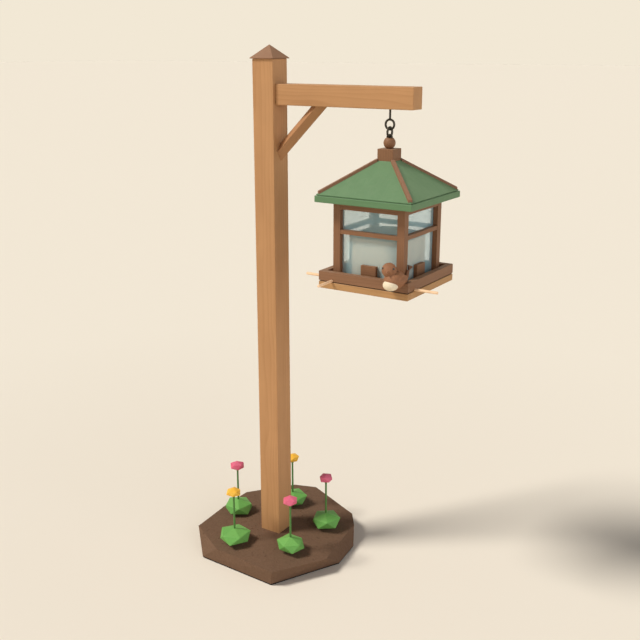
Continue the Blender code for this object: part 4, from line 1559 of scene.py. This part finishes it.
@dataclass
class Lantern:
    """Corner posts, rails, panes, port blocks and the fill of seed."""

    seeds_per_square_metre: float = 6240.0
    seed_length: float = 0.0062
    seed_width: float = 0.5
    smallest_seed: float = 0.6
    seed_inset: float = 0.0015
    under: float = -0.5
    draw: int = 9
    body: str = "lantern"

    def build(self) -> None:
        """Dresses the frame and the panes and fills the lantern."""
        for corner in CORNERS:
            dress_board(f"corner_post_{corner}", STAINED, Run.UPRIGHT)
        pane = PANE.made()
        for side in SIDES:
            for board in ("top_rail", "mid_rail", "port_block"):
                dress_board(f"{board}_{side}", STAINED, Run.beside(side))
            dress(f"glass_pane_{side}", pane)
        self.fill()

    def fill(self) -> None:
        """Covers the upright fill with loose seeds."""
        seed = SEED.made()
        dress("seed", seed)
        bm = merged("seed")
        below = [face for face in bm.faces if face.normal.z < self.under]
        bmesh.ops.delete(bm, geom=below, context="FACES")
        middle = centre_of("seed")
        for vert in bm.verts:
            outward = Vector((vert.co.x - middle.x, vert.co.y, 0.0))
            vert.co -= outward.normalized() * self.seed_inset
        grains = Grains().grow(bed("loose_seed", bm), seed, Density=self.seeds_per_square_metre,
                               Length=self.seed_length, Width=self.seed_width,
                               Smallest=self.smallest_seed, Seed=self.draw)
        ride(grains, self.body, "seed")


@dataclass
class Tray:
    """Base board, mitred rim boards and the four perches."""

    end_round: float = 0.0012
    round_middle: float = 0.3
    perch_facets: int = 32
    # size of the band of painted shade on the base board, along the gap under the rim boards
    joint_depth: float = 0.0032
    joint_over: float = 0.001
    joint_width: float = 0.007
    body: str = "lantern"

    def build(self) -> None:
        """Dresses the boards, with painted shade on the base board along the rim boards, and turns the
        perches.
        """
        low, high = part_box("base_board")
        # painted shade on the base board's outer edge, where the rim boards stand on it
        painted_shade = PaintedShadeBand(high[2] - self.joint_depth, high[2] + self.joint_over,
                      (high[0] - low[0]) / 2 - self.joint_width, centre_of("base_board").x)
        dress_board("base_board", replace(BASE, painted_shade=painted_shade), Run.ALONG_X)
        for side in SIDES:
            dress_board(f"tray_rim_{side}", RIM, Run.beside(side))
            self.perch(side)

    def perch(self, side: str) -> None:
        """Turns one perch with softened ends.

        Args:
            side: the side of the tray that it stands out from.
        """
        node = f"perch_{side}"
        low, high = (Vector(corner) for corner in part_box(node))
        size = high - low
        along_x = size.x > size.y
        half, radius = max(size.x, size.y) / 2, size.z / 2
        soft = self.end_round
        bevel = soft * self.round_middle
        outer = [(radius, half - soft), (radius - bevel, half - bevel), (radius - soft, half), (0.0, half)]
        profile = [(reach, -height) for reach, height in reversed(outer)] + outer
        turn = Matrix.Rotation(math.pi / 2, 4, "Y" if along_x else "X")
        form = turned(profile, self.perch_facets, Matrix.Translation((low + high) / 2) @ turn)
        dowel = add_object(f"dowel_{side}", mesh_of("dowel", form, True))
        run = Run.ALONG_X if along_x else Run.ALONG_Y
        cover(dowel, DOWEL.on(f"dowel_{side}", (low + high) / 2, run.turn()))
        ride(dowel, self.body, "dowel_timber", node)


@dataclass
class Bird:
    """Small carved bird seated over the front rim and looking out of the picture."""

    hook: float = 0.551
    along: float = 0.139
    tray_half: float = 0.1933
    rim_top: float = 1.39475
    body_half: float = 0.1526
    floor: float = 1.35745
    body_centre: Triple = (0.004, 0.0067, 0.0094)
    body_halves: Triple = (0.037, 0.0463, 0.035)
    head_centre: Triple = (-0.0115, 0.0240, 0.0476)
    head_radius: float = 0.0275
    belly_centre: Triple = (0.0015, 0.0345, -0.0050)
    belly_halves: Triple = (0.029116, 0.026606, 0.021084)
    wing_offset: Triple = (0.030, -0.0067, 0.0006)
    wing_halves: Triple = (0.009, 0.034, 0.020)
    tail_root: Triple = (0.0205, 0.002, 0.003)
    tail_bend: Triple = (0.0205, -0.056, 0.010)
    tail_rise: Triple = (0.0185, -0.066, 0.034)
    tail_fan: Triple = (0.0139, -0.0733, 0.0405)
    tail_tip: Triple = (0.0255, -0.0893, 0.0427)
    tail_radii: tuple[float, float, float, float] = (0.011, 0.0065, 0.0125, 0.0025)
    head_turn: float = 16.0
    beak_root: float = 0.9
    beak_length: float = 0.012
    beak_radii: Pair = (0.0055, 0.0006875)
    beak_dip: float = 6.0
    bar_facets: int = 32
    voxel: float = 0.0011
    sanding: int = 5
    sanding_force: float = 0.5
    fit: float = 0.0003
    reach: float = 0.6
    notch_height: float = 0.3
    body: str = "lantern"

    def at(self, offset: Triple) -> Vector:
        """Place of a point given along the rim, out from it and up from its top."""
        along, out, up = offset
        return Vector((self.hook + self.along + along, -self.tray_half - out, self.rim_top + up))

    def gaze(self, rise: float) -> Vector:
        """Unit direction in which the head looks, raised by some degrees."""
        around, up = math.radians(self.head_turn), math.radians(rise)
        return Vector((math.sin(around) * math.cos(up), -math.cos(around) * math.cos(up), math.sin(up)))

    @staticmethod
    def egg(bm: Form, middle: Vector, halves: Triple) -> None:
        """Adds a smooth egg to a form."""
        matrix = Matrix.Translation(middle) @ Matrix.Diagonal((*halves, 1.0))
        bmesh.ops.create_icosphere(bm, subdivisions=4, radius=1.0, matrix=matrix)

    def taper(self, bm: Form, start: Vector, end: Vector, thick: float, thin: float) -> None:
        """Adds a tapered round bar to a form.

        Args:
            bm: the form.
            start: middle of the thick end.
            end: middle of the thin end.
            thick: radius at the start.
            thin: radius at the end.
        """
        way = end - start
        place = Matrix.Translation((start + end) / 2) @ way.to_track_quat("Z", "Y").to_matrix().to_4x4()
        bmesh.ops.create_cone(bm, cap_ends=True, segments=self.bar_facets, radius1=thick, radius2=thin,
                              depth=way.length, matrix=place)

    def rough_out(self) -> Form:
        """Joins the eggs and bars that the body, head, wings, tail and beak are carved from.

        Returns:
            The rough form.
        """
        bm = bmesh.new()
        head = self.at(self.head_centre)
        self.egg(bm, self.at(self.body_centre), self.body_halves)
        self.egg(bm, head, (self.head_radius,) * 3)
        for sign in (-1, 1):
            centre = Vector(self.body_centre) + Vector((sign * self.wing_offset[0], *self.wing_offset[1:]))
            self.egg(bm, self.at(tuple(centre)), self.wing_halves)
        root, bend, rise = self.at(self.tail_root), self.at(self.tail_bend), self.at(self.tail_rise)
        thick, slim, broad, thin = self.tail_radii
        self.taper(bm, root, bend, thick, slim)
        self.egg(bm, bend, (slim,) * 3)
        self.taper(bm, bend, rise, slim, slim)
        self.taper(bm, self.at(self.tail_fan), self.at(self.tail_tip), broad, thin)
        self.taper(bm, head + self.gaze(0.0) * self.beak_root * self.head_radius,
                   head + self.gaze(-self.beak_dip) * (self.head_radius + self.beak_length),
                   *self.beak_radii)
        return bm

    def build(self) -> None:
        """Carves the bird, paints it and sets its eyes."""
        carved = add_object("carved_bird", mesh_of("carved_bird", self.rough_out(), True))
        remesh = carved.modifiers.new("carve", "REMESH")
        remesh.mode = "VOXEL"
        remesh.voxel_size = self.voxel
        remesh.use_smooth_shade = True
        soften = carved.modifiers.new("sand", "SMOOTH")
        soften.factor = self.sanding_force
        soften.iterations = self.sanding
        bm = bmesh.new()
        self.egg(bm, self.at(self.belly_centre), self.belly_halves)
        belly = add_object("bird_belly", mesh_of("bird_belly", bm, True))
        for piece, finish in ((plain_mesh(carved), BROWN), (belly, CREAM)):
            seated = cut_away(piece, self.seat())
            cover(seated, finish.made())
            ride(seated, self.body, "carved_bird", "bird")
        bead = EYE.made()
        for side in ("left", "right"):
            dress(f"bird_eye_{side}", bead)

    def seat(self) -> list[Matrix]:
        """Measures what is cut away, so that nothing of the bird stands in the rim or the corner post.

        Returns:
            The matrix of each box.
        """
        hook, reach, fit = self.hook, self.reach, self.fit
        saddle = (Vector((hook - reach, -self.tray_half - fit, self.floor - reach)),
                  Vector((hook + reach, reach, self.rim_top + fit)))
        notch = (Vector((hook - reach, -self.body_half - fit, self.floor)),
                 Vector((hook + self.body_half + fit, reach, self.floor + self.notch_height)))
        return [Matrix.Translation((high + low) / 2) @ Matrix.Diagonal((*(high - low), 1.0))
                for low, high in (saddle, notch)]


# The room that the feeder is seen in


@dataclass
class Studio:
    """Camera, lamps, pale floor and backdrop."""

    camera_place: Triple = (2.2207, -3.0743, 2.2188)
    camera_tilt: float = 16.6058
    camera_turn: float = 32.802
    lens: float = 51.396
    sensor: float = 36.0
    seen_from_to: Pair = (0.05, 300.0)
    key_way: Triple = (0.900, 0.900, -1.50)
    key_strength: float = 2.88
    key_size: float = 15.0
    key_colour: Triple = (1.0, 0.985, 0.96)
    fill_way: Triple = (-0.92, 0.28, -0.22)
    fill_strength: float = 0.88
    fill_size: float = 60.0
    fill_colour: Triple = (0.88, 0.97, 1.16)
    air_colour: Triple = (1.02, 1.0, 0.99)
    ambient: float = 0.07
    horizon: float = 0.90
    floor_half: float = 120.0
    floor_rough: float = 0.95
    # near and far colours of the floor, and the distances over which the painted lightening fades in
    floor_colour: str = "F0E5D3"
    far_floor_colour: str = "F4EAD8"
    floor_change: Pair = (0.9, 3.5)
    backdrop_colour: str = "F2E8D5"

    def build(self) -> None:
        """Sets up the room."""
        self.camera()
        self.lamp("key lamp", self.key_way, self.key_strength, self.key_size, self.key_colour)
        self.lamp("fill lamp", self.fill_way, self.fill_strength, self.fill_size, self.fill_colour)
        self.air()
        self.floor()
        bpy.context.scene.view_settings.view_transform = "Standard"

    def camera(self) -> None:
        """Stands the camera where the picture was taken from."""
        data = bpy.data.cameras.new("camera")
        data.lens = self.lens
        data.sensor_width = self.sensor
        data.clip_start, data.clip_end = self.seen_from_to
        obj = bpy.data.objects.new("camera", data)
        obj.location = self.camera_place
        obj.rotation_euler = (math.radians(90 - self.camera_tilt), 0.0, math.radians(self.camera_turn))
        bpy.context.scene.collection.objects.link(obj)
        bpy.context.scene.camera = obj

    @staticmethod
    def lamp(name: str, way: Triple, strength: float, size: float, colour: Triple) -> None:
        """Hangs a far, broad lamp.

        Args:
            name: name of the lamp.
            way: direction in which its light travels.
            strength: its power.
            size: its apparent width in degrees.
            colour: its colour.
        """
        data = bpy.data.lights.new(name, "SUN")
        data.energy = strength
        data.angle = math.radians(size)
        data.color = colour
        obj = bpy.data.objects.new(name, data)
        obj.rotation_euler = Vector(way).to_track_quat("-Z", "Y").to_euler()
        bpy.context.scene.collection.objects.link(obj)

    def air(self) -> None:
        """Fills the room with soft light, and shows the backdrop to the eye and in gloss and glass."""
        world = bpy.data.worlds.new("room")
        bpy.context.scene.world = world
        world.use_nodes = True
        world.node_tree.nodes.clear()
        graph = Graph(world.node_tree)
        seen = graph.add("ShaderNodeBackground", {"Color": linear(self.backdrop_colour)})
        height = graph.split(graph.add("ShaderNodeTexCoord").outputs["Generated"])[2]
        low = graph.less(1.0, height, clamp=True)
        glow = graph.plus(graph.times(graph.times(low, low), self.horizon), self.ambient)
        soft = graph.add("ShaderNodeBackground", {"Color": (*self.air_colour, 1.0), "Strength": glow})
        path = graph.add("ShaderNodeLightPath").outputs
        mirrored = graph.sum("MAXIMUM", path["Is Glossy Ray"], path["Is Transmission Ray"])
        looked_at = graph.sum("MAXIMUM", path["Is Camera Ray"], mirrored)
        choice = graph.add("ShaderNodeMixShader", {0: looked_at, 1: soft.outputs[0], 2: seen.outputs[0]})
        graph.add("ShaderNodeOutputWorld", {"Surface": choice.outputs[0]})

    def floor(self) -> None:
        """Lays a pale floor whose colour is painted lighter with distance, so that its far parts look as the
        backdrop does; near the feeder it is a little darker, as painted shade.
        """
        bm = bmesh.new()
        bmesh.ops.create_grid(bm, x_segments=1, y_segments=1, size=self.floor_half)
        obj = add_object("floor", mesh_of("floor", bm))
        stuff = Stuff("pale floor", 0.0)
        away = stuff.graph.add("ShaderNodeVectorMath", {0: stuff.where}, operation="LENGTH").outputs["Value"]
        # painted light: the floor's colour grows lighter from near the feeder to far away
        share = stuff.graph.range(away, self.floor_change, (0.0, 1.0))
        colour = stuff.graph.mix(share, linear(self.floor_colour), linear(self.far_floor_colour))
        stuff.set(Base_Color=colour, Roughness=self.floor_rough)
        cover(obj, stuff.material)


def main() -> None:
    """Builds the feeder from the ground up and lights it."""
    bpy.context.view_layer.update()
    for part in (Mound, Planting, Stand, Hanger, Roof, Lantern, Tray, Bird, Studio):
        part().build()


if __name__ == "__main__":
    logging.basicConfig(level=logging.INFO, format="%(message)s")
    main()
